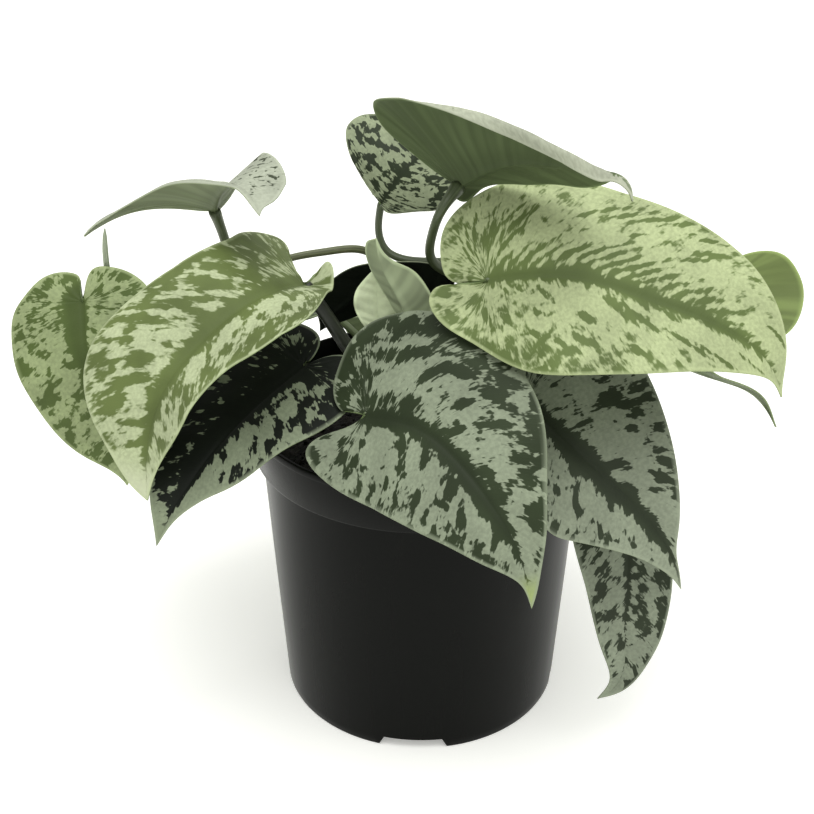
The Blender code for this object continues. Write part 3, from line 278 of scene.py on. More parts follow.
leaf(
    "leaf_far_left",
    midrib=[(-112.5, -2, 151), (-110.5, -14, 135), (-105, -20, 112), (-100, -22, 92)],
    face=[(-20, -80, 55), (-20, -90, 35), (-20, -95, 20)],
    half_width=(25, 26), lobe=(0.17, 0.17), gap=0.06, full=(0.3, 0.4), curl=both(-12, -8),
    stalk=[(-110.5, 3, 147), (-103, 9.5, 141.5)], stalk_radius=1.3, vine="vine_left",
    joins_at=(-96, 15, 145),
    outline=([(3, -7), (12, -15.5), (36, -16.8), (58, -14), (78, -9), (93, -2), (105, 12), (104, 30),
        (88, 50), (62, 72), (30, 90), (8, 96.5)],
        [(3, -6), (4, -13), (15, -16.2), (31, -17.2), (58, -14.5), (80, -6.5), (97, 3.5), (101, 16),
        (97, 28.5), (88, 41), (78, 54), (64, 67), (43, 79), (19, 88), (4, 96)]),
    silver=(0.27, 0.325, 0.16), green=(0.083, 0.12, 0.032), seed=53, fine=0.85,
    band=((2, 2, 1, 0, 0, 0), (8, 7, 3, 1, 0, 0)), spread=both(42, 42, 42, 47), margin=(7, 7))
leaf(
    "leaf_dark_left",
    midrib=[(-39, -17.8, 135.2), (-55, -33.6, 127.3), (-70, -51, 115.8), (-80, -58, 101.9), (-84, -61, 94)],
    face=[(-30, -50, 80), (-40, -65, 65), (-30, -90, 30)],
    half_width=(24, 27), lobe=(0.15, 0.17), full=(-0.4, 0.1), curl=both(-12, -8),
    stalk=[(-33, -14, 131), (-21, -12, 119)], stalk_radius=1.6, vine="vine_front", joins_at=(-4, -10, 111),
    outline=([(10, -8), (33, -15), (68, -14), (95, -4), (107, 10), (102, 20), (90, 33), (74, 51), (55, 62),
        (32, 71.5), (18, 79.5), (7, 88.5), (2, 96)],
        [(3, -7), (12, -13.5), (35, -16.8), (56, -15.5), (80, -10), (95, 0), (100, 13), (95, 35), (72, 60),
        (38, 82), (8, 95.5)]),
    # The near-black green and stalk colours are partly painted shade: leaf_left hangs over this leaf.
    silver=(0.24, 0.28, 0.185), green=(0.009, 0.012, 0.008), seed=61, fine=0.8, streaks=1.3,
    band=((4, 4, 3, 2.5, 1.5, -2), (7, 8, 9, 9, 7, 2, -3)),
    spread=((78, 74, 68, 55, 44, 34, 25), (70, 70, 72, 72, 70, 60, 30)), margin=(5, 0),
    tip=(0.2, 0.235, 0.15), tip_amount=0.9, stalk_colour=(0.02, 0.025, 0.013), flare=0.2,
    clearings=([(54, 40, 4, -35), (57.5, 85, 3, -30), (70, 45, 6, -30), (85, 50, 7, -30), (70, 95, 3, 25)],
        [(25, 50, 4, -20)]))
leaf(
    "leaf_top",
    midrib=[(11.3, -1.5, 191.5), (23, -13, 202), (40, -28.5, 207.8), (50.4, -36, 209), (56.3, -41.3, 208.9),
            (59.2, -43.6, 206), (60, -44.3, 202.6)],
    face=[(40, 75, 50), (40, 70, 55), (40, 65, 60), (45, 50, 70), (60, -40, 70)],
    half_width=(13.5, 39), lobe=(0.12, 0.25), fold=((12, 5), (14, 0)), curl=((-10, -8), (-20, -20)),
    rim_curl=(None, (0, -10, -70, -130, -140, -80, 0)), rim_width=5,
    stalk=[(6, -7.5, 186), (3, -4, 176), (2.6, 1, 166)], stalk_radius=1.7, vine="vine_right",
    joins_at=(16, 16, 155.5),
    outline=([(12, -5), (38, -8), (50, -5), (47, 1), (42, 8), (56, 18), (84, 36), (92, 50), (95, 62),
        (70, 75), (30, 84), (10, 92)],
        [(15, -4), (50, -8), (85, -6), (99, 2), (96, 13), (81, 26), (63, 44), (41, 62), (20, 76), (7, 86),
        (4, 93)]),
    silver=(0.36, 0.385, 0.29), green=(0.1, 0.14, 0.06), seed=71, band=both(4, 4, 3, 2, 0),
    spread=((30, 30), (25, 25)), margin=(0, -10), under_veins=0.15, under_dark=0.35,
    under=(0.08, 0.108, 0.047), stalk_colour=(0.06, 0.08, 0.035), flare=1.1)
leaf(
    "leaf_small_top",
    midrib=[(-14, 26, 175), (-6, 28, 186), (4, 38, 194), (12, 52, 194)],
    face=[(-10, -80, 50), (-10, -50, 80), (0, 0, 100)],
    half_width=(27, 20), lobe=(0.03, 0.05), fold=both(10), curl=both(-10, -8),
    stalk=[(-14.8, 27, 168.5), (-14.4, 26.5, 162), (-12, 25.5, 157.8), (-7, 24, 155.6), (0, 21.5, 155.6)],
    stalk_radius=1.5, vine="vine_right", joins_at=(14, 16, 159),
    outline=([(8, 1.5), (28, 5.5), (55, 11), (81, 20), (96, 31), (95, 43), (82, 57), (60, 74), (35, 88),
        (10, 97)],
        [(10, -2), (41, 5), (73, 16.5), (98, 27), (100, 42), (90, 60), (65, 78), (35, 90), (10, 97)]),
    silver=(0.245, 0.285, 0.175), green=(0.022, 0.032, 0.014), seed=83, fine=0.55, streaks=1.4,
    band=both(1.5, 2, 2, 2, 1), spread=((46, 46), (44, 44)), margin=(3, 3), under_veins=0.1,
    stalk_colour=(0.075, 0.095, 0.05), flare=0.15)
leaf(
    "leaf_upper_left",
    midrib=[(-72, 34, 169.5), (-68.5, 22, 179.5), (-63.5, 8, 188), (-59.5, -3.5, 192.3), (-56.2, -9, 192.7),
            (-53.2, -13.2, 191), (-50.9, -17, 187.3)],
    face=[(0, 80, 60), (0, 80, 60), (0, 80, 60), (0, 80, 60), (0, 70, 70), (-10, -10, 95)],
    half_width=(17.5, 47), lobe=(0.12, 0.14), fold=((50, 50, 50, 30, 10), (10, 10, 10, 8, 0)),
    curl=((0, 0), (-62, -60, -40)), curl_power=(1, 1.15), rim_curl=(None, (0, -30, -40, -30, 0)),
    rim_width=3, stalk=[(-69, 35, 157)], stalk_radius=1.8, vine="vine_left", joins_at=(-65, 26, 146),
    outline=([(5, -5), (30, -6), (50, 0), (68, 14), (82, 33), (92, 50), (98, 66), (92, 79), (60, 90.5),
        (28, 95.5), (7, 97.5)],
        [(6, -4), (25, -7), (50, -5.5), (75, -3.5), (95, 0), (103, 6), (92, 8.5), (73, 9), (60, 15),
        (47, 25), (34, 36.5), (23, 45.5), (13, 55), (6, 66), (4, 80), (3, 92)]),
    silver=(0.37, 0.4, 0.31), green=(0.05, 0.062, 0.034), seed=97, fine=0.42, streaks=1.2,
    band=both(0, 0, -1, -2), spread=((30, 34, 34, 28, 10), (10, 10)), margin=(6, 0), under_veins=0.1,
    under_dark=0.6, under=(0.165, 0.205, 0.1), stalk_colour=(0.075, 0.095, 0.043), flare=0.7)
leaf(
    "leaf_behind_right",
    midrib=[(103, 24, 146), (110, 24, 132), (114, 30, 121), (114, 40, 112)],
    face=[(0, 90, 40), (0, 90, 40), (0, 60, 80)],
    half_width=(22, 27), lobe=(0.15, 0.15), fold=both(5), curl=both(-10, -8), stalk=[(97, 29, 150)],
    stalk_radius=1.4, vine="vine_back_right", joins_at=(88, 34, 148),
    silver=(0.38, 0.45, 0.22), green=(0.1, 0.145, 0.055), seed=101, band=both(4, 4, 3, 2),
    spread=both(45, 40), under=(0.2, 0.26, 0.09))
leaf(
    "leaf_edge_right",
    midrib=[(62, 20, 124), (80, 22, 122), (105, 24, 109.5), (123, 22, 101.5), (129, 18, 92)],
    face=[(0, 47, 87), (15, 44, 87), (40, 40, 82)],
    half_width=(16, 16), lobe=(0.15, 0.15), fold=both(2), curl=both(-4, -3), stalk=[(54, 22, 128)],
    stalk_radius=1.4, vine="vine_back_right", joins_at=(50, 28, 136),
    silver=(0.29, 0.33, 0.22), green=(0.07, 0.095, 0.04), seed=113, band=both(4, 4, 3, 2),
    spread=both(42, 40))
leaf(
    "leaf_young",
    midrib=[(-4, -12.5, 148), (-8, -9.5, 157), (-13, -7, 166), (-15, -5, 175)],
    face=[(10, 95, -10), (20, 90, 0)],
    half_width=(12, 7), lobe=(0.06, 0.04), full=(0.2, 0.6), fold=((-10, -10), (25, 25)),
    curl=((-20, -20), (20, 20)), stalk=[(-1, -12, 141), (0, -11, 131)], stalk_radius=1.3, vine="vine_front",
    joins_at=(-5, -10, 122),
    outline=([(10, -5), (40, -5), (78, 7), (98, 22), (93, 42), (78, 55), (52, 67), (24, 79), (8, 90),
        (3, 97)],
        [(10, -3), (35, 0), (60, 15), (80, 35), (86, 60), (95, 80), (80, 92), (40, 98)]),
    silver=(0.31, 0.37, 0.205), green=(0.4, 0.47, 0.24), seed=127, teeth=0.3, specks=0.05, mottle=0.3,
    band=both(-5), spread=both(-40), margin=(0, 0), tip=(0.15, 0.2, 0.08), tip_amount=0.75,
    # The near-black stalk colour is partly painted shade in the middle of the plant.
    under=(0.28, 0.33, 0.2), stalk_colour=(0.022, 0.03, 0.013))
leaf(
    "leaf_young_small",
    midrib=[(-14.5, -2, 142.2), (-15, 1, 149.4), (-15.6, 4, 160.6)],
    face=[(10, -90, 40), (10, -90, 40)],
    half_width=(9, 8), lobe=(0.06, 0.12), full=(1.2, 0.8), fold=both(10), curl=both(20),
    stalk=[(-13, -1, 136), (-9, 0, 127)], stalk_radius=1.2, vine="vine_front", joins_at=(-4, -10, 115),
    outline=([(30, -5), (62, 5), (83, 22), (95, 42), (88, 60), (60, 77), (20, 93)],
        None),
    silver=(0.62, 0.7, 0.46), green=(0.3, 0.36, 0.2), seed=129, teeth=0.3, specks=0.05, mottle=0.3,
    # The near-black stalk colour is partly painted shade in the middle of the plant.
    band=both(-5), spread=both(-40), margin=(0, 0), stalk_colour=(0.018, 0.024, 0.011))
leaf(
    "leaf_behind_centre",
    midrib=[(2, 23, 142), (-9, 22, 145.6), (-23, 22, 142.4), (-36, 24, 128)],
    face=[(0, 75, 60), (0, 75, 60)],
    half_width=(18, 19), lobe=(0.12, 0.12), fold=both(8), curl=both(-10, -8),
    stalk=[(8, 24, 137), (14, 22, 127)], stalk_radius=1.5, vine="vine_right", joins_at=(20, 15, 122),
    silver=(0.3, 0.34, 0.22), green=(0.04, 0.055, 0.025), seed=131, band=both(4, 4, 3, 2), spread=both(50),
    # Its near-black underside and stalk colours are painted deep shade behind the middle of the plant.
    under=(0.008, 0.011, 0.007), stalk_colour=(0.03, 0.04, 0.02))
leaf(
    "leaf_back_1",
    midrib=[(37, 49, 131), (50, 64, 127), (62, 77, 110), (68, 83, 88)],
    face=[(-30, 20, 95), (30, 50, 80), (50, 80, 30)],
    half_width=(28, 30), lobe=(0.16, 0.18), gap=0.06, full=(0.4, 0.4), stalk=[(32, 38, 130)],
    stalk_radius=1.5, vine="vine_back_right", joins_at=(33, 24, 124),
    silver=(0.36, 0.42, 0.26), green=(0.07, 0.1, 0.04), seed=149, band=both(4, 5, 4, 4, 2, -2),
    spread=both(45, 40, 30), margin=(8, 8))
leaf(
    "leaf_back_2",
    midrib=[(-50, 54, 117), (-62, 66, 111), (-73, 76, 93), (-78, 80, 73)],
    face=[(-10, 10, 98), (-40, 50, 75), (-50, 80, 30)],
    half_width=(28, 30), lobe=(0.12, 0.14), gap=0.06, full=(0.4, 0.4),
    stalk=[(-38, 49, 124), (-25, 45, 117)], stalk_radius=1.5, vine="vine_left", joins_at=(-13, 40, 108),
    silver=(0.33, 0.39, 0.24), green=(0.07, 0.1, 0.04), seed=151, band=both(4, 5, 4, 4, 2, -2),
    spread=both(48, 42, 30), margin=(8, 8))
leaf(
    "leaf_back_3",
    midrib=[(-6, 67, 117), (-9, 80, 112), (-12, 92, 95), (-13, 97, 74)],
    face=[(0, -20, 97), (0, 60, 80), (0, 95, 20)],
    half_width=(24, 23), lobe=(0.12, 0.14), gap=0.06, full=(0.4, 0.4), stalk=[(-6, 56, 123)],
    stalk_radius=1.5, vine="vine_back", joins_at=(-7, 43, 120),
    silver=(0.35, 0.41, 0.25), green=(0.06, 0.09, 0.035), seed=163, band=both(3, 4, 4, 3, 2, -2),
    spread=both(48, 42, 30), margin=(8, 8))
leaf(
    "leaf_back_4",
    midrib=[(26, 72, 96), (29, 79, 82), (30, 80, 58), (26, 79, 38)],
    face=[(10, 80, 60), (10, 95, 20), (10, 98, 0)],
    half_width=(20, 18), lobe=(0.12, 0.12), gap=0.06, full=(0.2, 0.2), fold=both(8),
    stalk=[(25, 68, 110), (17, 56, 119), (6, 46, 114)], stalk_radius=1.4, vine="vine_back",
    joins_at=(-6, 40, 106),
    silver=(0.3, 0.35, 0.23), green=(0.05, 0.075, 0.03), seed=173, band=both(3, 4, 3, 2, 1),
    spread=both(48, 42), margin=(8, 8))

VINES = {
    "vine_left": dict(
        path=[(-13, 40, 84), (-13, 40, 100), (-11, 41, 124), (-12, 39, 144), (-20, 36, 153.5),
              (-33, 33, 154.5), (-48, 29, 153), (-66, 26, 145), (-88, 20, 141), (-101, 12, 147),
              (-105.3, 7, 156)],
        radius=(1.8, 0.9),
        rolled_tip=[(-105.3, 7, 156), (-105.3, 6.5, 161), (-105, 6, 168), (-104.5, 6, 174)]),
    "vine_right": dict(
        path=[(20, 14, 84), (20, 14, 100), (20, 15, 130), (18, 16, 150), (12.5, 16, 162)],
        radius=(2.6, 2)),
    "vine_front": dict(
        path=[(0, -10, 84), (0, -10, 98), (-3, -10, 112), (-6, -9, 126)],
        radius=(2.6, 2.2)),
    "vine_back_right": dict(
        path=[(28, 26, 84), (28, 26, 100), (34, 25, 124), (50, 28, 136), (70, 32, 144), (88, 34, 148)],
        radius=(2.3, 1.5)),
    "vine_back": dict(
        path=[(-3, 43, 84), (-3, 43, 100), (-4, 44, 112), (-6, 46, 126)],
        radius=(2.4, 1.8)),
}


# Curves and blade form

def unit(vectors):
    vectors = np.asarray(vectors, float)
    return vectors / np.linalg.norm(vectors, axis=-1, keepdims=True)


def spline_bends(points, knots):
    """Second derivatives of the natural cubic spline through the points."""
    size = len(points)
    matrix = np.eye(size)
    right = np.zeros((size, points.shape[1]))
    for i in range(1, size - 1):
        before = knots[i] - knots[i - 1]
        after = knots[i + 1] - knots[i]
        matrix[i, i - 1:i + 2] = before, 2 * (before + after), after
        slope_change = (points[i + 1] - points[i]) / after - (points[i] - points[i - 1]) / before
        right[i] = 6 * slope_change
    return np.linalg.solve(matrix, right)


def run_along(points):
    """Length run from the first point to each of them."""
    return np.concatenate([[0.0], np.cumsum(np.linalg.norm(np.diff(points, axis=0), axis=1))])


def smooth_path(points, count):
    """Smooth curve through the points, resampled at even steps of its length."""
    points = np.array(points, float)
    knots = run_along(points)
    bends = spline_bends(points, knots)
    dense = np.linspace(0, knots[-1], CURVE_STEPS)
    span = np.clip(np.searchsorted(knots, dense, side="right") - 1, 0, len(points) - 2)
    width = (knots[span + 1] - knots[span])[:, None]
    a = (knots[span + 1] - dense)[:, None] / width
    b = 1 - a
    line = a * points[span] + b * points[span + 1]
    line = line + ((a ** 3 - a) * bends[span] + (b ** 3 - b) * bends[span + 1]) * width * width / 6
    run = run_along(line)
    even = np.linspace(0, run[-1], count)
    return np.stack([np.interp(even, run, line[:, k]) for k in range(line.shape[1])], axis=1)


def along(values, share):
    """Value at a share of the length, from values at even steps."""
    return np.interp(share, np.linspace(0, 1, len(values)), values)


def smooth_step(low, high, value):
    t = np.clip((value - low) / (high - low), 0, 1)
    return t * t * (3 - 2 * t)


class Blade:
    """A leaf blade's form: points of its middle surface from margin coordinates."""

    def __init__(self, row):
        self.row = row
        self.line = smooth_path(row["midrib"], MIDRIB_STEPS)
        self.length = run_along(self.line)[-1]
        self.tangent = unit(np.gradient(self.line, axis=0))
        share = np.linspace(0, 1, MIDRIB_STEPS)
        face = np.stack([along(column, share) for column in unit(row["face"]).T], axis=1)
        self.face = unit(face - (face * self.tangent).sum(1, keepdims=True) * self.tangent)
        self.side = np.cross(self.tangent, self.face)
        self.margins = [self.margin_path(side) for side in (0, 1)]

    def frame(self, y):
        """Midrib point, tangent, face and side direction at y (0 base, 1 tip, below 0 straight on)."""
        share = np.clip(y, 0, 1)
        out = [np.stack([along(column, share) for column in array.T], axis=-1)
               for array in (self.line, self.tangent, self.face, self.side)]
        out[0] = out[0] + np.minimum(y, 0)[..., None] * self.length * out[1]
        return out

    def heart_margin(self, side):
        """Margin of one half of a heart-shaped leaf with a drip tip."""
        lobe = self.row["lobe"][side]
        gap = self.row["gap"]
        full = self.row["full"][side]
        belly = 0.12
        return [(gap, -0.55 * lobe), (0.3 + gap / 2, -0.97 * lobe), (0.62, -0.93 * lobe),
                (0.9, -0.3 * lobe), (1, belly), (0.93 + 0.04 * full, belly + 0.26),
                (0.69 + 0.16 * full, belly + 0.51 + 0.02 * full), (0.33 + 0.22 * full, belly + 0.73),
                (0.07, 0.955)]

    def margin_path(self, side):
        """Fine margin of one half, base to tip: x in half widths, y in leaf lengths."""
        own = self.row["outline"][side]
        shape = [(x / 100, y / 100) for x, y in own] if own else self.heart_margin(side)
        path = [(x, y * MARGIN_STRETCH) for x, y in ((0, 0), *shape, (0, 1))]
        path = smooth_path(path, MARGIN_STEPS)
        path[:, 1] /= MARGIN_STRETCH
        return path

    def margin(self, side, share):
        """Margin point of one half: x in half widths, y in leaf lengths."""
        x, y = (along(column, share) for column in self.margins[side].T)
        return np.where(y < 0.02, np.maximum(x, 0.015), np.maximum(x, 0)), y

    def margin_x(self, side, y):
        """Half width of the blade at y, as a share of its widest."""
        x_margin, y_margin = self.margin(side, np.linspace(0, 1, MARGIN_STEPS))
        lowest = int(np.argmin(y_margin))
        return np.interp(y, y_margin[lowest:], x_margin[lowest:])

    def place(self, side, x, y):
        """Points of the blade at x half widths and y leaf lengths."""
        row = self.row
        point, _, face, across = self.frame(y)
        half = row["half_width"][side]
        share = np.clip(y, 0, 1)
        fold = np.radians(along(row["fold"][side], share))
        curl = np.radians(along(row["curl"][side], share))
        rim_curl = row["rim_curl"][side]
        steps = 24 if rim_curl else 8
        up = 0
        out = 0
        for k in range(steps):
            reached = x * (k + 0.5) / steps
            angle = fold + curl * reached ** row["curl_power"][side]
            if rim_curl:
                width = row["rim_width"] / half
                inner = self.margin_x(side, y) - width
                bend = np.radians(along(rim_curl, share))
                angle = angle + bend * smooth_step(inner, inner + 0.6 * width, reached)
            up = up + x * half / steps * np.sin(angle)
            out = out + x * half / steps * np.cos(angle)
        up = up + row["lift"][side] * np.clip(-y / row["lobe"][side], 0, 2) ** 2
        swing = np.sin(2 * np.pi * (WAVE_COUNT * y + 0.37 * side))
        up = up + WAVE_HEIGHT * x ** 2 * swing * (1 - share ** 3)
        return point + (-1, 1)[side] * out[..., None] * across + up[..., None] * face


def rib_root(y_margin):
    """Where the side vein that ends at y_margin leaves the midrib."""
    return np.clip((y_margin - SIDE_VEINS_FROM) / (1 - SIDE_VEINS_FROM), 0, 1) ** 1.45


def rib_point(blade, side, share, reach):
    """Blade coordinates on the curved side vein to a margin share, at reach 0 to 1 along it."""
    x_out, y_out = blade.margin(side, share)
    y_root = rib_root(y_out)
    y_bend = y_root + 0.32 * (y_out - y_root)
    x = 2 * (1 - reach) * reach * (0.55 * x_out) + reach * reach * x_out
    y = (1 - reach) ** 2 * y_root + 2 * (1 - reach) * reach * y_bend + reach * reach * y_out
    return x, y


def margin_stations(blade, side):
    """Margin shares: steps round the lobe, then even steps along the length."""
    share = np.linspace(0, 1, MARGIN_STEPS)
    y = blade.margin(side, share)[1]
    lowest = int(np.argmin(y))
    turn = lowest + int(np.searchsorted(y[lowest:], SIDE_VEINS_FROM))
    round_lobe = np.linspace(0, share[turn], LOBE_STEPS + 1)
    rest = np.interp(LENGTH_SHARES[1:], y[turn:], share[turn:])
    rest[-1] = 1.0
    return np.concatenate([round_lobe, rest])


# Leaf meshes

def half_grid(blade, side):
    """Grid of one half: points, blade and vein coordinates in millimetres, and the drawn pattern."""
    row = blade.row
    stations = margin_stations(blade, side)
    share, reach = np.meshgrid(stations, np.linspace(0, 1, VEIN_STEPS + 1), indexing="ij")
    x, y = rib_point(blade, side, share, reach)
    points = blade.place(side, x, y)
    steps = np.linalg.norm(np.diff(points, axis=1), axis=2)
    run = np.concatenate([np.zeros((len(stations), 1)), np.cumsum(steps, axis=1)], axis=1)
    x_mm = x * row["half_width"][side]
    grid = {"points": points, "x": x_mm * (-1, 1)[side], "y": y, "reach": reach, "run": run,
            "rib_length": run[:, -1:] + 0 * run, "rim_run": run_along(points[:, -1])[:, None] + 0 * run,
            "share": share, "band": along(row["band"][side], np.clip(y, 0, 1)) - run}
    grid["drawn"] = drawn_green(blade, side, grid, x_mm)
    grid["splash"] = splash_chance(row, side, grid)
    return grid


def drawn_green(blade, side, grid, x_mm):
    """Distance in millimetres inside the green band or a green stroke; below 0 outside them."""
    row = blade.row
    band = grid["band"]
    for share, start, end, width in row["strokes"][side]:
        rib_x, rib_y = rib_point(blade, side, share / 100 + row["lean"] * grid["reach"], grid["reach"])
        across = np.hypot(rib_x * row["half_width"][side] - x_mm, (rib_y - grid["y"]) * blade.length)
        middle = (grid["run"] - (start + end) / 2) / ((end - start) / 2)
        inside = 1 - np.sqrt((across / width) ** 2 + middle ** 2)
        band = np.maximum(band, inside * (width + 2))
    return band


def splash_chance(row, side, grid):
    """How likely a random green splash is; above 0 the green covers more than half."""
    splash = along(row["spread"][side], grid["share"]) - 50
    splash = splash + row["margin"][side] * smooth_step(0.5, 0.85, grid["reach"])
    for share, reach, size, amount in row["clearings"][side]:
        away = np.hypot((grid["share"] - share / 100) * grid["rim_run"].max(),
                        (grid["reach"] - reach / 100) * grid["rib_length"])
        splash = splash + amount * np.exp(-(away / size) ** 2)
    return splash / 100 - 0.4 * smooth_step(0.88, 1, np.clip(grid["y"], 0, 1))


def joined_grid(blade):
    """Both halves as one surface: vertex fields, quads and the vein coordinates of quad corners."""
    rows = LOBE_STEPS + LENGTH_STEPS
    halves = [half_grid(blade, side) for side in (0, 1)]
    start = LENGTH_STEPS + 1
    index = []
    for side in (0, 1):
        own = (rows - 1) * VEIN_STEPS
        full = np.zeros((rows + 1, VEIN_STEPS + 1), int)
        full[1:-1, 1:] = start + np.arange(own).reshape(rows - 1, VEIN_STEPS)
        full[:, 0] = np.maximum(0, np.arange(rows + 1) - LOBE_STEPS)
        full[0, :] = 0
        full[-1, :] = LENGTH_STEPS
        index.append(full)
        start += own
    fields = {}
    for key, values in halves[0].items():
        fields[key] = np.zeros((start,) + values.shape[2:])
        for side in (0, 1):
            fields[key][index[side]] = halves[side][key]
    root_y = rib_root(LENGTH_SHARES)
    middle = slice(0, LENGTH_STEPS + 1)
    for key, value in (("reach", 0), ("run", 0), ("x", 0), ("y", root_y), ("points", blade.frame(root_y)[0])):
        fields[key][middle] = value
    quads = []
    corners = []
    # The halves lie apart in vein coordinates, so that their noise isn't mirrored.
    for side, (full, grid) in enumerate(zip(index, halves)):
        patches = [(slice(i, rows + i), slice(j, VEIN_STEPS + j))
                   for i, j in ((0, 0), (1, 0), (1, 1), (0, 1))]
        turn = (1, -1)[side]
        rim_run = grid["rim_run"] + (-HALF_SHIFT, HALF_SHIFT)[side]
        quads.append(np.stack([full[patch].ravel() for patch in patches], axis=1)[:, ::turn])
        corners.append(np.stack([np.stack([rim_run[patch].ravel(), grid["run"][patch].ravel()], axis=1)
                                 for patch in patches], axis=1)[:, ::turn])
    return fields, np.concatenate(quads), np.concatenate(corners)


def vertex_normals(points, quads):
    normals = np.zeros_like(points)
    diagonal = np.cross(points[quads[:, 2]] - points[quads[:, 0]], points[quads[:, 3]] - points[quads[:, 1]])
    for k in range(4):
        np.add.at(normals, quads[:, k], diagonal)
    return unit(normals)


def rim_edges(quads):
    """Edges of the surface's outer margin, in the direction of its quads."""
    edges = {}
    for quad in quads.tolist():
        for a, b in zip(quad, quad[1:] + quad[:1]):
            if a != b:
                edges[(a, b)] = True
    return [(a, b) for a, b in edges if (b, a) not in edges]


def blade_surfaces(points, normals, fields):
    """Upper and lower face: thinner to the margin, quilted between veins, grooved and ribbed."""
    share = np.clip(fields["y"], 0, 1)
    reach = np.clip(fields["reach"], 0, 1)
    distance = np.abs(fields["x"])
    half_thickness = (BLADE_THICKNESS + (EDGE_THICKNESS - BLADE_THICKNESS) * reach ** 2) / 2
    quilting = np.sin(np.pi * fields["share"] * SIDE_VEINS) ** 2 * np.sin(np.pi * reach) ** 0.7
    groove = np.exp(-(distance / GROOVE_WIDTH) ** 2) * (1 - share) ** 0.5
    rib = np.exp(-(distance / RIB_WIDTH) ** 2) * (1 - share) ** 0.7
    top_height = half_thickness + QUILTING_ABOVE * quilting - GROOVE_DEPTH * groove
    low_height = half_thickness - QUILTING_BELOW * quilting + RIB_HEIGHT * rib
    return points + normals * top_height[:, None], points - normals * low_height[:, None]


def leaf_mesh(name, blade):
    """Closed blade with relief on both sides, its variegation fields and two coordinate maps."""
    fields, quads, corners = joined_grid(blade)
    points = fields["points"]
    count = len(points)
    normals = vertex_normals(points, quads)
    rim = rim_edges(quads)
    rim_points = sorted({a for edge in rim for a in edge})
    edge_index = {a: 2 * count + k for k, a in enumerate(rim_points)}
    ahead = dict(rim)
    behind = {b: a for a, b in rim}
    edge_points = []
    for a in rim_points:
        outward = np.cross(points[ahead[a]] - points[behind[a]], normals[a])
        edge_points.append(points[a] + outward / (np.linalg.norm(outward) + 1e-9) * EDGE_ROUNDING)
    faces = []
    places = []
    for table, maps in ((quads, corners), (quads[:, ::-1] + count, corners[:, ::-1])):
        for quad, corner in zip(table.tolist(), maps.tolist()):
            kept = [k for k in range(4) if quad[k] not in quad[:k]]
            if len(kept) >= 3:
                faces.append([quad[k] for k in kept])
                places.extend(corner[k] for k in kept)
    for a, b in rim:
        faces.append((b, a, edge_index[a], edge_index[b]))
        faces.append((edge_index[b], edge_index[a], a + count, b + count))
        places.extend([(fields["rim_run"][a], fields["rib_length"][a])] * 8)
    mesh = new_mesh(name, np.concatenate([*blade_surfaces(points, normals, fields), edge_points]), faces)
    add_map(mesh, "vein", np.array(places, float) / 100)
    flat = np.stack([fields["x"], fields["y"] * blade.length], axis=1)
    flat = np.concatenate([flat, flat, flat[rim_points]])
    add_map(mesh, "blade", flat[corner_vertices(mesh)] / 100)
    add_fields(mesh, fields, rim_points)
    return mesh


def add_fields(mesh, fields, rim_points):
    """Point fields that the leaf material reads."""
    one = np.ones(len(fields["y"]))
    # Strip about a millimetre wide along the margin, where the material paints a highlight.
    rim = 1 - smooth_step(0.45, 1.25, fields["rib_length"] - fields["run"])
    tip = smooth_step(0.86, 0.97, np.clip(fields["y"], 0, 1))
    values = {key: (fields[key], fields[key], fields[key][rim_points]) for key in ("drawn", "splash", "band")}
    values["rim"] = (rim, rim, rim[rim_points])
    values["tip"] = (tip, tip, tip[rim_points])
    values["upper"] = (one, 0 * one, 0.6 * one[rim_points])
    for key, parts in values.items():
        attribute = mesh.attributes.new(key, "FLOAT", "POINT")
        attribute.data.foreach_set("value", np.concatenate(parts))


# Meshes and objects

def new_mesh(name, points, faces, smooth=True):
    """Mesh from points in millimetres."""
    mesh = bpy.data.meshes.new(name)
    mesh.from_pydata((np.asarray(points, float) * MM).tolist(), [], [list(face) for face in faces])
    mesh.polygons.foreach_set("use_smooth", np.full(len(mesh.polygons), smooth))
    return mesh


def corner_vertices(mesh):
    """The vertex of each face corner."""
    vertices = np.zeros(len(mesh.loops), int)
    mesh.loops.foreach_get("vertex_index", vertices)
    return vertices


def add_map(mesh, name, places):
    """Coordinate map with one place for each face corner."""
    layer = mesh.uv_layers.new(name=name)
    layer.data.foreach_set("uv", np.asarray(places, float).ravel())


def add_object(name, data):
    item = bpy.data.objects.new(name, data)
    bpy.context.scene.collection.objects.link(item)
    return item


def dress(piece, material, node):
    """Gives a piece its material and the one body, and lets it stand for a CAD node."""
    piece.data.materials.clear()
    piece.data.materials.append(material)
    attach(piece, "root")
    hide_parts(node)


# Stalks and vines

def tube(path, radii, sides, end_direction=None, ridges=0.0):
    """Closed round bar along a path, its ends capped by fans; ridges makes it slightly three-sided."""
    path = np.asarray(path, float)
    tangents = unit(np.gradient(path, axis=0))
    if end_direction is not None:
        tangents[-1] = end_direction
    across = unit(np.cross(tangents[0], (0, 0, 1) if abs(tangents[0][2]) < 0.9 else (1, 0, 0)))
    turn = 2 * np.pi * np.arange(sides)[:, None] / sides
    points = []
    for centre, tangent, radius in zip(path, tangents, radii):
        across = unit(across - (across @ tangent) * tangent)
        circle = np.cos(turn) * across + np.sin(turn) * np.cross(tangent, across)
        points.extend(centre + radius * (1 + ridges * np.cos(3 * turn)) * circle)
    end = len(points)
    sectors = [(k, (k + 1) % sides) for k in range(sides)]
    faces = [(i + k, i + n, i + n + sides, i + k + sides) for i in range(0, end - sides, sides)
             for k, n in sectors]
    for k, n in sectors:
        faces += [(end, n, k), (end + 1, end - sides + k, end - sides + n)]
    return [*points, path[0], path[-1]], faces


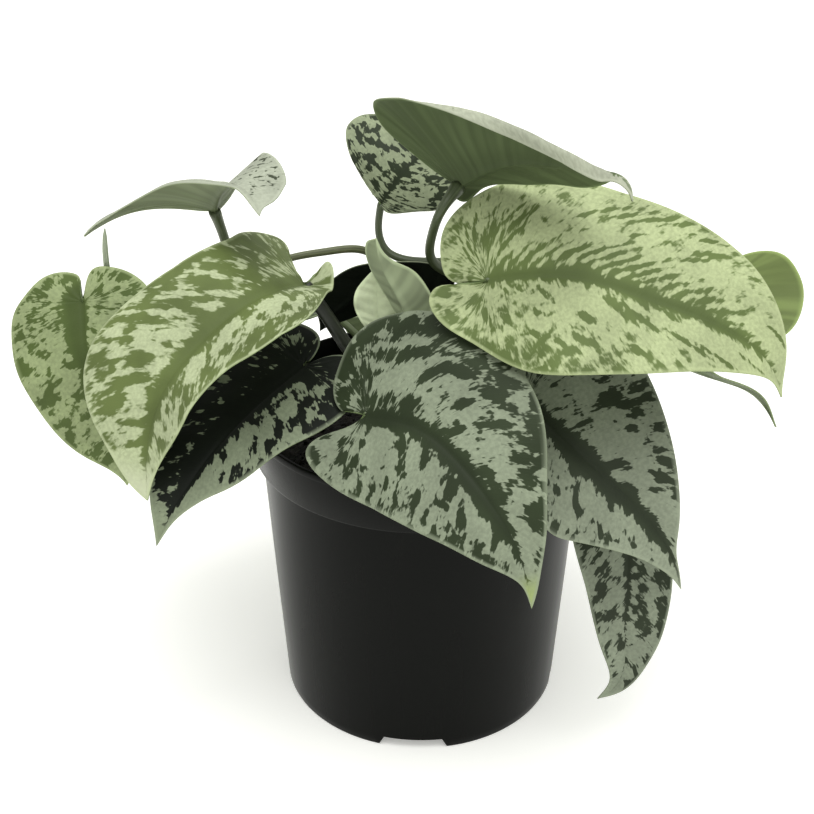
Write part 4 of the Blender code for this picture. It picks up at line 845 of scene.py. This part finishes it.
def add_bar(kind, node, material, step, path, radii, sides, **shape):
    """Bar of a CAD node, with a coordinate map: across it, and along it in centimetres."""
    points, faces = tube(path, radii, sides, **shape)
    mesh = new_mesh(node + kind, points, faces)
    vertices = corner_vertices(mesh)
    ring = np.minimum(vertices // sides, (len(points) - 3) // sides)
    turn = np.abs((vertices % sides) / sides * 2 - 1)
    add_map(mesh, "bar", np.stack([turn, ring * step / 10], axis=1))
    dress(add_object(node + kind, mesh), material, node)


def nearest_step(line, place):
    return int(np.argmin(((line - np.array(place)) ** 2).sum(1)))


def stalk_path(row, blade):
    """Stalk from just under the blade's base to a knee, and the foot square to its vine."""
    vine = VINES[row["vine"]]
    line = smooth_path(vine["path"], VINE_STEPS)
    nearest = nearest_step(line, row["joins_at"])
    tangent = unit(np.gradient(line, axis=0))[nearest]
    radius = along(vine["radius"], nearest / (VINE_STEPS - 1))
    away = np.array(row["stalk"][-1], float) - line[nearest]
    away = unit(away - (away @ tangent) * tangent)
    start = blade.line[0] - blade.face[0] * STALK_START
    foot = line[nearest] + away * (radius + FOOT_GAP)
    knee = line[nearest] + away * (radius + FOOT_GAP + 3)
    return [start, *row["stalk"], knee], foot


def build_stalk(name, row, blade):
    """Stalk that widens under the blade and again at its foot."""
    points, foot = stalk_path(row, blade)
    length = run_along(np.array(points))[-1]
    rings = int(max(12, length / STALK_RING_STEP))
    radius = row["stalk_radius"]
    radii = np.linspace(radius * 0.78, radius, rings)
    radii = radii * (1 + row["flare"] * np.exp(-np.linspace(0, length, rings) / STALK_FLARE_LENGTH))
    radii[0] = radii[0] * 0.9
    radii = np.append(radii, radius * FOOT_FLARE)
    path = np.concatenate([smooth_path(points, rings), [foot]])
    add_bar("_stalk", name, stalk_material(name + "_stalk", row["stalk_colour"]), STALK_RING_STEP, path,
            radii, STALK_SIDES, end_direction=unit(foot - path[-2]), ridges=0.05)


def build_leaf(name, row):
    blade = Blade(row)
    piece = add_object(name + "_blade", leaf_mesh(name + "_blade", blade))
    dress(piece, leaf_material(name + "_blade", row), name)
    build_stalk(name, row, blade)


def build_vine(name, row, material):
    """Vine that swells where a stalk leaves it."""
    length = run_along(smooth_path(row["path"], VINE_STEPS))[-1]
    rings = int(length) + 2
    radii = np.linspace(*row["radius"], rings)
    path = smooth_path(row["path"], rings)
    places = np.linspace(0, length, rings)
    for other in LEAVES.values():
        if other["vine"] == name:
            node = places[nearest_step(path, other["joins_at"])]
            radii = radii + NODE_SWELLING * np.exp(-((places - node) / NODE_LENGTH) ** 2)
    add_bar("_bar", name, material, 1, path, radii, VINE_SIDES)
    if "rolled_tip" in row:
        build_rolled_tip(name, row["rolled_tip"])


def build_rolled_tip(name, points):
    """New leaf at a vine's end, still rolled to a slender spike."""
    path = smooth_path(points, SPIKE_RINGS)
    radii = np.interp(np.linspace(0, 1, SPIKE_RINGS), (0, 0.15, 0.6, 0.85, 1), (1, 1.05, 0.95, 0.7, 0.2))
    material = stalk_material(name + "_rolled_leaf", (0.3, 0.35, 0.24))
    add_bar("_rolled_leaf", name, material, 0.5, path, radii, VINE_SIDES, ridges=0.06)


# Pot and soil

def revolved(profile, segments, shift=0.5):
    """Closed solid turned about Z from a profile whose first and last points lie on the axis."""
    points = [(0, 0, profile[0][1])]
    for radius, height in profile[1:-1]:
        for k in range(segments):
            turn = 2 * math.pi * (k + shift) / segments
            points.append((radius * math.cos(turn), radius * math.sin(turn), height))
    points.append((0, 0, profile[-1][1]))
    faces = []
    last = len(points) - 1 - segments
    for k in range(segments):
        n = (k + 1) % segments
        faces.append((0, 1 + n, 1 + k))
        for a, b in zip(range(1 + k, last, segments), range(1 + n, last, segments)):
            faces.append((a, b, b + segments, a + segments))
        faces.append((len(points) - 1, last + k, last + n))
    return np.array(points, float), faces


def loose_object(points, faces):
    """Solid with its faces turned outward, before it is cut or used to cut."""
    mesh = new_mesh("solid", points, faces)
    work = bmesh.new()
    work.from_mesh(mesh)
    bmesh.ops.recalc_face_normals(work, faces=work.faces)
    work.to_mesh(mesh)
    work.free()
    return add_object("solid", mesh)


def cut(piece, cutters):
    for cutter in cutters:
        step = piece.modifiers.new("step", "BOOLEAN")
        step.operation = "DIFFERENCE"
        step.solver = "EXACT"
        step.object = cutter
        bpy.context.view_layer.update()
        result = bpy.data.meshes.new_from_object(piece.evaluated_get(bpy.context.evaluated_depsgraph_get()))
        piece.modifiers.clear()
        piece.data = result
        bpy.data.objects.remove(cutter, do_unlink=True)


def pot_profile():
    """Cross-section of the pot with its edges eased."""
    base, wall, lip, top = POT_BASE_RADIUS, WALL_TOP_RADIUS, POT_RIM_RADIUS, POT_HEIGHT
    band = RIM_BAND_BOTTOM_RADIUS
    band_bottom = POT_HEIGHT - RIM_BAND_HEIGHT
    lip_bottom = POT_HEIGHT - LIP_HEIGHT
    floor = CHANNEL_HEIGHT + FLOOR_THICKNESS
    return [(0, 0), (PAD_RADIUS, 0), (PAD_RADIUS + 3, CHANNEL_HEIGHT), (CHANNEL_OUTER_RADIUS, CHANNEL_HEIGHT),
            (FOOT_INNER_RADIUS, 0), (base - 0.8, 0), (base - 0.25, 0.15), (base, 0.7),
            (base + 0.17, 3.4), (base + 0.23, 4.4), (base + 0.39, 7), (base + 0.95, 16), (base + 2.7, 44),
            (wall - 0.1, band_bottom - 1), (wall - 0.5, band_bottom - 0.8), (wall - 0.5, band_bottom + 0.4),
            (band - 0.3, band_bottom + 0.05), (band + 0.05, band_bottom + 0.7), (lip - LIP_STEP, lip_bottom),
            (lip - 0.1, lip_bottom + 0.25), (lip, lip_bottom + 0.6), (lip, top - 0.6),
            (lip - 0.2, top - 0.15), (lip - 0.7, top), (lip - 1.3, top - 0.1), (lip - 1.6, top - 0.6),
            (band - POT_WALL, band_bottom + 2.6), (wall - POT_WALL, band_bottom + 0.4),
            (base + 0.3 - POT_WALL, floor), (PAD_RADIUS + 2.2, floor), (PAD_RADIUS - 0.8, FLOOR_THICKNESS),
            (0, FLOOR_THICKNESS)]


def drain_cutters():
    """Round bars through the pot's floor."""
    cutters = []
    for k in range(DRAIN_COUNT):
        turn = 2 * math.pi * k / DRAIN_COUNT
        x, y = DRAIN_CIRCLE * math.cos(turn), DRAIN_CIRCLE * math.sin(turn)
        path = [(x, y, CHANNEL_HEIGHT - 2), (x, y, CHANNEL_HEIGHT + FLOOR_THICKNESS + 2)]
        cutters.append(loose_object(*tube(path, [DRAIN_RADIUS] * 2, 40)))
    return cutters


def notch_cutters():
    """Blocks with slanted sides through the foot ring."""
    cutters = []
    for k in range(NOTCH_COUNT):
        turn = math.radians(NOTCH_ANGLE + 360 * k / NOTCH_COUNT)
        out = np.array([math.cos(turn), math.sin(turn), 0])
        side = np.array([-math.sin(turn), math.cos(turn), 0]) * NOTCH_WIDTH / 2
        points = []
        for reach in (CHANNEL_OUTER_RADIUS - 4, POT_BASE_RADIUS + 4):
            for width, height in ((1.15, -1), (-1.15, -1), (-0.93, NOTCH_HEIGHT), (0.93, NOTCH_HEIGHT)):
                points.append(out * reach + side * width + (0, 0, height))
        faces = [(0, 1, 2, 3), (7, 6, 5, 4), (0, 4, 5, 1), (1, 5, 6, 2), (2, 6, 7, 3), (3, 7, 4, 0)]
        cutters.append(loose_object(points, faces))
    return cutters


def build_pot():
    pot = loose_object(*revolved(pot_profile(), POT_SEGMENTS))
    pot.name = "pot_body"
    cut(pot, drain_cutters() + notch_cutters())
    pot.data.polygons.foreach_set("use_smooth", np.ones(len(pot.data.polygons), bool))
    pot.data.set_sharp_from_angle(angle=math.radians(32))
    dress(pot, pot_material(), "pot")


def soil_height(x, y):
    """Gentle heaps of the soil's surface."""
    return SOIL_TOP + 0.9 * np.sin(x * 0.21) * np.cos(y * 0.17) + 0.45 * np.sin(x * 0.55 + y * 0.31) + 0.3


def build_soil():
    """Heaped surface down to the pot's floor, with crumbs lying on it."""
    low = CHANNEL_HEIGHT + FLOOR_THICKNESS + 0.5
    profile = [(0, 0), *((radius, 0) for radius in np.linspace(1.5, SOIL_EDGE_RADIUS - 1, SOIL_RINGS)),
               (SOIL_EDGE_RADIUS, SOIL_TOP - 0.6), (SOIL_NECK_RADIUS, 97.6), (SOIL_NECK_RADIUS, 96.4),
               (SOIL_FOOT_RADIUS, low), (0, low)]
    points, faces = revolved(profile, SOIL_SEGMENTS, 0)
    top = points[:1 + SOIL_RINGS * SOIL_SEGMENTS]
    rough = np.random.default_rng(5).normal(0, 0.35, len(top))
    top[:, 2] = soil_height(top[:, 0], top[:, 1]) + rough
    faces = [face[:1] + face[:0:-1] for face in faces]
    crumbs, crumb_faces = soil_crumbs(len(points))
    mesh = new_mesh("soil_heap", np.concatenate([points, crumbs]), faces + crumb_faces, False)
    dress(add_object("soil_heap", mesh), soil_material(), "potting_soil")


def soil_crumbs(start):
    """Small uneven lumps scattered over the surface, clear of the vines."""
    rng = np.random.default_rng(8)
    base = bmesh.new()
    bmesh.ops.create_icosphere(base, subdivisions=1, radius=1)
    shape = np.array([v.co[:] for v in base.verts])
    shape_faces = [tuple(v.index for v in f.verts) for f in base.faces]
    base.free()
    feet = np.array([row["path"][0][:2] for row in VINES.values()], float)
    points = []
    faces = []
    for _ in range(SOIL_CRUMBS):
        radius = CRUMB_REACH * math.sqrt(rng.random())
        turn = 2 * math.pi * rng.random()
        x, y = radius * math.cos(turn), radius * math.sin(turn)
        size = rng.uniform(0.5, 1.7)
        squash = rng.uniform(0.5, 1, 3) * size
        lump = shape * squash * (1 + rng.normal(0, 0.12, (len(shape), 1)))
        spin = rng.uniform(0, math.pi)
        if np.min(np.hypot(feet[:, 0] - x, feet[:, 1] - y)) < CRUMB_CLEARANCE:
            continue
        cos, sin = math.cos(spin), math.sin(spin)
        turned = lump @ np.array([(cos, sin, 0), (-sin, cos, 0), (0, 0, 1)])
        faces += [tuple(start + len(points) * len(shape) + k for k in face) for face in shape_faces]
        points.append(turned + (x, y, float(soil_height(x, y)) + 0.25 * size))
    return np.concatenate(points), faces


# Materials

class Graph:
    """Adds shader nodes to one new material."""

    def __init__(self, name):
        self.material = bpy.data.materials.new(name)
        self.material.use_nodes = True
        self.tree = self.material.node_tree
        self.shader = self.tree.nodes["Principled BSDF"]

    def fill(self, node, inputs):
        """Links or sets inputs of a node, by name or number."""
        for key, value in inputs.items():
            socket = node.inputs[key]
            if isinstance(value, bpy.types.NodeSocket):
                self.tree.links.new(value, socket)
            else:
                socket.default_value = (*value, 1) if socket.type == "RGBA" else value

    def node(self, kind, output, inputs, **settings):
        """An output of a new node."""
        node = self.tree.nodes.new("ShaderNode" + kind)
        for key, value in settings.items():
            setattr(node, key, value)
        self.fill(node, inputs)
        return node.outputs[output]

    def field(self, name):
        return self.node("Attribute", "Fac", {}, attribute_name=name)

    def scaled(self, vector, scale, shift=(0, 0, 0)):
        return self.node("VectorMath", 0, {0: vector, 1: scale, 2: shift}, operation="MULTIPLY_ADD")

    def noise(self, vector, scale, detail, roughness=0.5, distortion=0):
        return self.node("TexNoise", "Fac", {"Vector": vector, "Scale": scale, "Detail": detail,
                                             "Roughness": roughness, "Distortion": distortion})

    def map_noise(self, name, scale, detail, shift=(0, 0, 0), **more):
        """Noise over a coordinate map that is scaled and shifted."""
        place = self.scaled(self.node("UVMap", "UV", {}, uv_map=name), (*scale, 0), shift)
        return self.noise(place, 1, detail, **more)

    def maths(self, operation, a, b):
        return self.node("Math", 0, {0: a, 1: b}, operation=operation)

    def total(self, first, *others):
        for other in others:
            first = self.maths("ADD", first, other)
        return first

    def swing(self, value, amount):
        """A noise value moved to swing about 0 by the amount."""
        return self.maths("MULTIPLY", self.maths("SUBTRACT", value, 0.5), amount)

    def steps(self, value, low, high, out_low=0, out_high=1):
        """Smooth rise between two output values while the value goes from low to high."""
        ends = {"From Min": low, "From Max": high, "To Min": out_low, "To Max": out_high}
        return self.node("MapRange", "Result", {"Value": value, **ends}, interpolation_type="SMOOTHSTEP")

    def mix(self, factor, a, b, blend="MIX"):
        inputs = {"Factor": factor, "A": a, "B": b}
        return self.node("Mix", "Result", inputs, data_type="RGBA", blend_type=blend)

    def bump(self, height, distance, strength, **more):
        inputs = {"Height": height, "Distance": distance, "Strength": strength, **more}
        return self.node("Bump", "Normal", inputs)

    def finished(self, colour, roughness, normal, more=()):
        """The material, with its shader filled in."""
        self.fill(self.shader, {"Base Color": colour, "Roughness": roughness, "Normal": normal, **dict(more)})
        return self.material


def shade(colour, factor):
    return tuple(min(1.0, c * factor) for c in colour)


def shade_more(g, colour, factor):
    """A colour that already varies, made lighter or darker."""
    return g.mix(1, colour, (factor, factor, factor), "MULTIPLY")


def leaf_material(name, row):
    """Silver leaf with a feathered green band and splashes, olive below; a painted highlight along the
    margin, and painted shade near the midrib below.
    """
    g = Graph(name)
    silver, green, under, seed, fine = (row[key] for key in ("silver", "green", "under", "seed", "fine"))

    def speckle(kind, width, length, shift, detail, **more):
        """Noise in vein or blade coordinates, its patches so many millimetres wide and long."""
        return g.map_noise(kind, (100 / width, 100 / length), detail, shift, **more)

    streaks = speckle("vein", 3.2 * fine, 9 * fine, (seed, seed * 0.7, seed), 2)
    ragged = speckle("vein", 0.9, 2.4, (seed, -seed, seed), 2.5)
    mottle = g.steps(speckle("blade", 1.2, 1.2, (seed, 0, seed), 3), 0.35, 0.65)
    blobs = speckle("blade", 6.5 * fine, 6.5 * fine, (seed * 1.3, seed, seed), 2, roughness=0.55,
                    distortion=0.4)
    tone = g.steps(speckle("blade", 16, 16, (seed, seed, 0), 3), 0.3, 0.7)
    drawn = g.total(g.maths("MULTIPLY", g.field("drawn"), 0.14), g.swing(streaks, row["teeth"]),
                    g.swing(ragged, 0.6))
    splash = g.total(g.field("splash"), g.swing(blobs, 1.3), g.swing(streaks, row["streaks"]),
                     g.swing(ragged, 0.5))
    mask = g.steps(g.maths("MAXIMUM", drawn, splash), -row["soft"], row["soft"])
    pale = g.mix(tone, shade(silver, 1.06), shade(silver, 0.84))
    pale = g.mix(g.steps(ragged, 0.35, 0.75, 0, row["specks"]), pale, shade(silver, 0.68))
    swing = 0.09 * row["mottle"]
    pale = g.mix(mottle, shade_more(g, pale, 1 - swing), shade_more(g, pale, 1 + swing))
    dark = g.mix(tone, green, shade(green, 0.72))
    dark = g.mix(g.steps(g.field("band"), 0, 3.5, 0, row["band_dark"]), dark, shade(green, 0.5))
    tip = g.maths("MULTIPLY", g.field("tip"), row["tip_amount"])
    # Painted highlight: the strip along the margin is made paler above and below, for light catching the
    # leaf's edge.
    rim = g.maths("MULTIPLY", g.field("rim"), 0.7)
    top = g.mix(tip, g.mix(mask, pale, dark), row["tip"] or shade(silver, 1.1))
    top = g.mix(rim, top, shade(silver, 1.15))
    veins = row["under_veins"]
    wedges = g.steps(speckle("vein", 5, 60, (seed, 0, 0), 1), 0.35, 0.65)
    below = g.mix(wedges, shade(under, 1 - veins), shade(under, 1 + veins))
    # Painted shade: the underside darkens near the midrib, by the row's amount.
    below = g.mix(g.steps(g.field("band"), -8, 2, 0, row["under_dark"]), below, shade(under, 0.45))
    below = g.mix(rim, below, shade(under, 1.9))
    lines = g.bump(speckle("vein", 0.6, 9, (seed, 0, 0), 1), 0.00012, 0.5)
    return g.finished(g.mix(g.field("upper"), below, top), g.steps(mask, 0, 1, 0.6, 0.52),
                      g.bump(mask, 0.00006, -0.5, Normal=lines), {"Specular IOR Level": 0.16})


def stalk_material(name, base):
    """Green stalk with fine streaks along it."""
    g = Graph(name)
    streaks = g.map_noise("bar", (9, 0.35), 2)
    patches = g.map_noise("bar", (1.2, 0.8), 2)
    colour = g.mix(g.steps(streaks, 0.3, 0.7), shade(base, 0.75), shade(base, 1.25))
    colour = g.mix(g.steps(patches, 0.5, 0.8, 0, 0.5), colour, shade(base, 0.6))
    return g.finished(colour, 0.42, g.bump(streaks, 0.00015, 0.6))


def vine_material():
    """Olive brown bark-like skin, with corky spots."""
    g = Graph("vine_skin")
    streaks = g.map_noise("bar", (8, 0.4), 3)
    cork = g.map_noise("bar", (3, 3), 3, roughness=0.7)
    colour = g.mix(g.steps(streaks, 0.3, 0.7), (0.075, 0.085, 0.04), (0.16, 0.18, 0.085))
    colour = g.mix(g.steps(cork, 0.58, 0.7, 0, 0.8), colour, (0.2, 0.17, 0.1))
    return g.finished(colour, 0.55, g.bump(cork, 0.0003, 0.6))


def pot_material():
    """Black moulded plastic with a faint flow pattern and a little dust."""
    g = Graph("pot_plastic")
    place = g.node("TexCoord", "Object", {})
    dust = g.steps(g.noise(place, 45, 6, 0.7), 0.55, 0.85, 0, 0.35)
    flow = g.steps(g.noise(g.scaled(place, (60, 60, 6)), 1, 2), 0.3, 0.7, 0.24, 0.32)
    return g.finished(g.mix(dust, (0.0012, 0.0016, 0.001), (0.006, 0.007, 0.005)), flow,
                      g.bump(g.noise(place, 900, 2), 0.00005, 0.3),
                      {"Specular IOR Level": 0.08, "Sheen Weight": 0.13, "Sheen Roughness": 0.09,
                       "Sheen Tint": (0.8, 1, 0.55)})


def soil_material():
    """Nearly black soil, in lumps a little lighter and darker."""
    g = Graph("soil_crumb")
    lumps = g.noise(g.node("TexCoord", "Object", {}), 260, 4, 0.7)
    colour = g.mix(g.steps(lumps, 0.35, 0.65), (0.002, 0.002, 0.0015), (0.012, 0.009, 0.006))
    return g.finished(colour, 0.95, g.bump(lumps, 0.0012, 0.9))


# Stage

def build_stage():
    """Pale floor that glows a little, so that shadows on it stay soft."""
    corners = [(x * FLOOR_HALF, y * FLOOR_HALF, 0) for x, y in ((-1, -1), (1, -1), (1, 1), (-1, 1))]
    mesh = new_mesh("floor", corners, [(0, 1, 2, 3)])
    g = Graph("floor_paper")
    g.fill(g.shader, {"Base Color": (0.93, 0.935, 0.9), "Emission Color": (1, 1, 0.96), "Roughness": 0.9,
                      "Emission Strength": FLOOR_GLOW, "Specular IOR Level": 0.1})
    mesh.materials.append(g.material)
    add_object("floor", mesh)


def build_lights():
    """Pale world and one large soft light, aimed at the plant."""
    world = bpy.data.worlds.new("studio")
    bpy.context.scene.world = world
    world.use_nodes = True
    background = world.node_tree.nodes["Background"]
    background.inputs["Color"].default_value = (1, 1, 0.975, 1)
    background.inputs["Strength"].default_value = 0.66
    light = bpy.data.lights.new("top_light", "AREA")
    light.size = LIGHT_SIZE
    light.energy = LIGHT_POWER
    lamp = add_object("top_light", light)
    lamp.location = LIGHT_PLACE
    x, y, z = np.subtract(LIGHT_AIM, LIGHT_PLACE)
    lamp.rotation_euler = (-math.atan2(math.hypot(x, y), -z), 0, math.atan2(x, -y))


def build_camera():
    elevation = math.radians(CAMERA_ELEVATION)
    camera = bpy.data.cameras.new("camera")
    camera.lens = CAMERA_LENS
    camera.clip_start = 0.01
    viewer = add_object("camera", camera)
    x, y, z = CAMERA_TARGET
    back = CAMERA_DISTANCE * math.cos(elevation)
    rise = CAMERA_DISTANCE * math.sin(elevation)
    viewer.location = (x * MM, (y - back) * MM, (z + rise) * MM)
    viewer.rotation_euler = (math.pi / 2 - elevation, 0, 0)
    bpy.context.scene.camera = viewer


def build_all():
    build_camera()
    build_lights()
    build_stage()
    build_pot()
    build_soil()
    skin = vine_material()
    for name, row in VINES.items():
        build_vine(name, row, skin)
    for name, row in LEAVES.items():
        build_leaf(name, row)


build_all()
bpy.context.scene.view_settings.view_transform = "Standard"
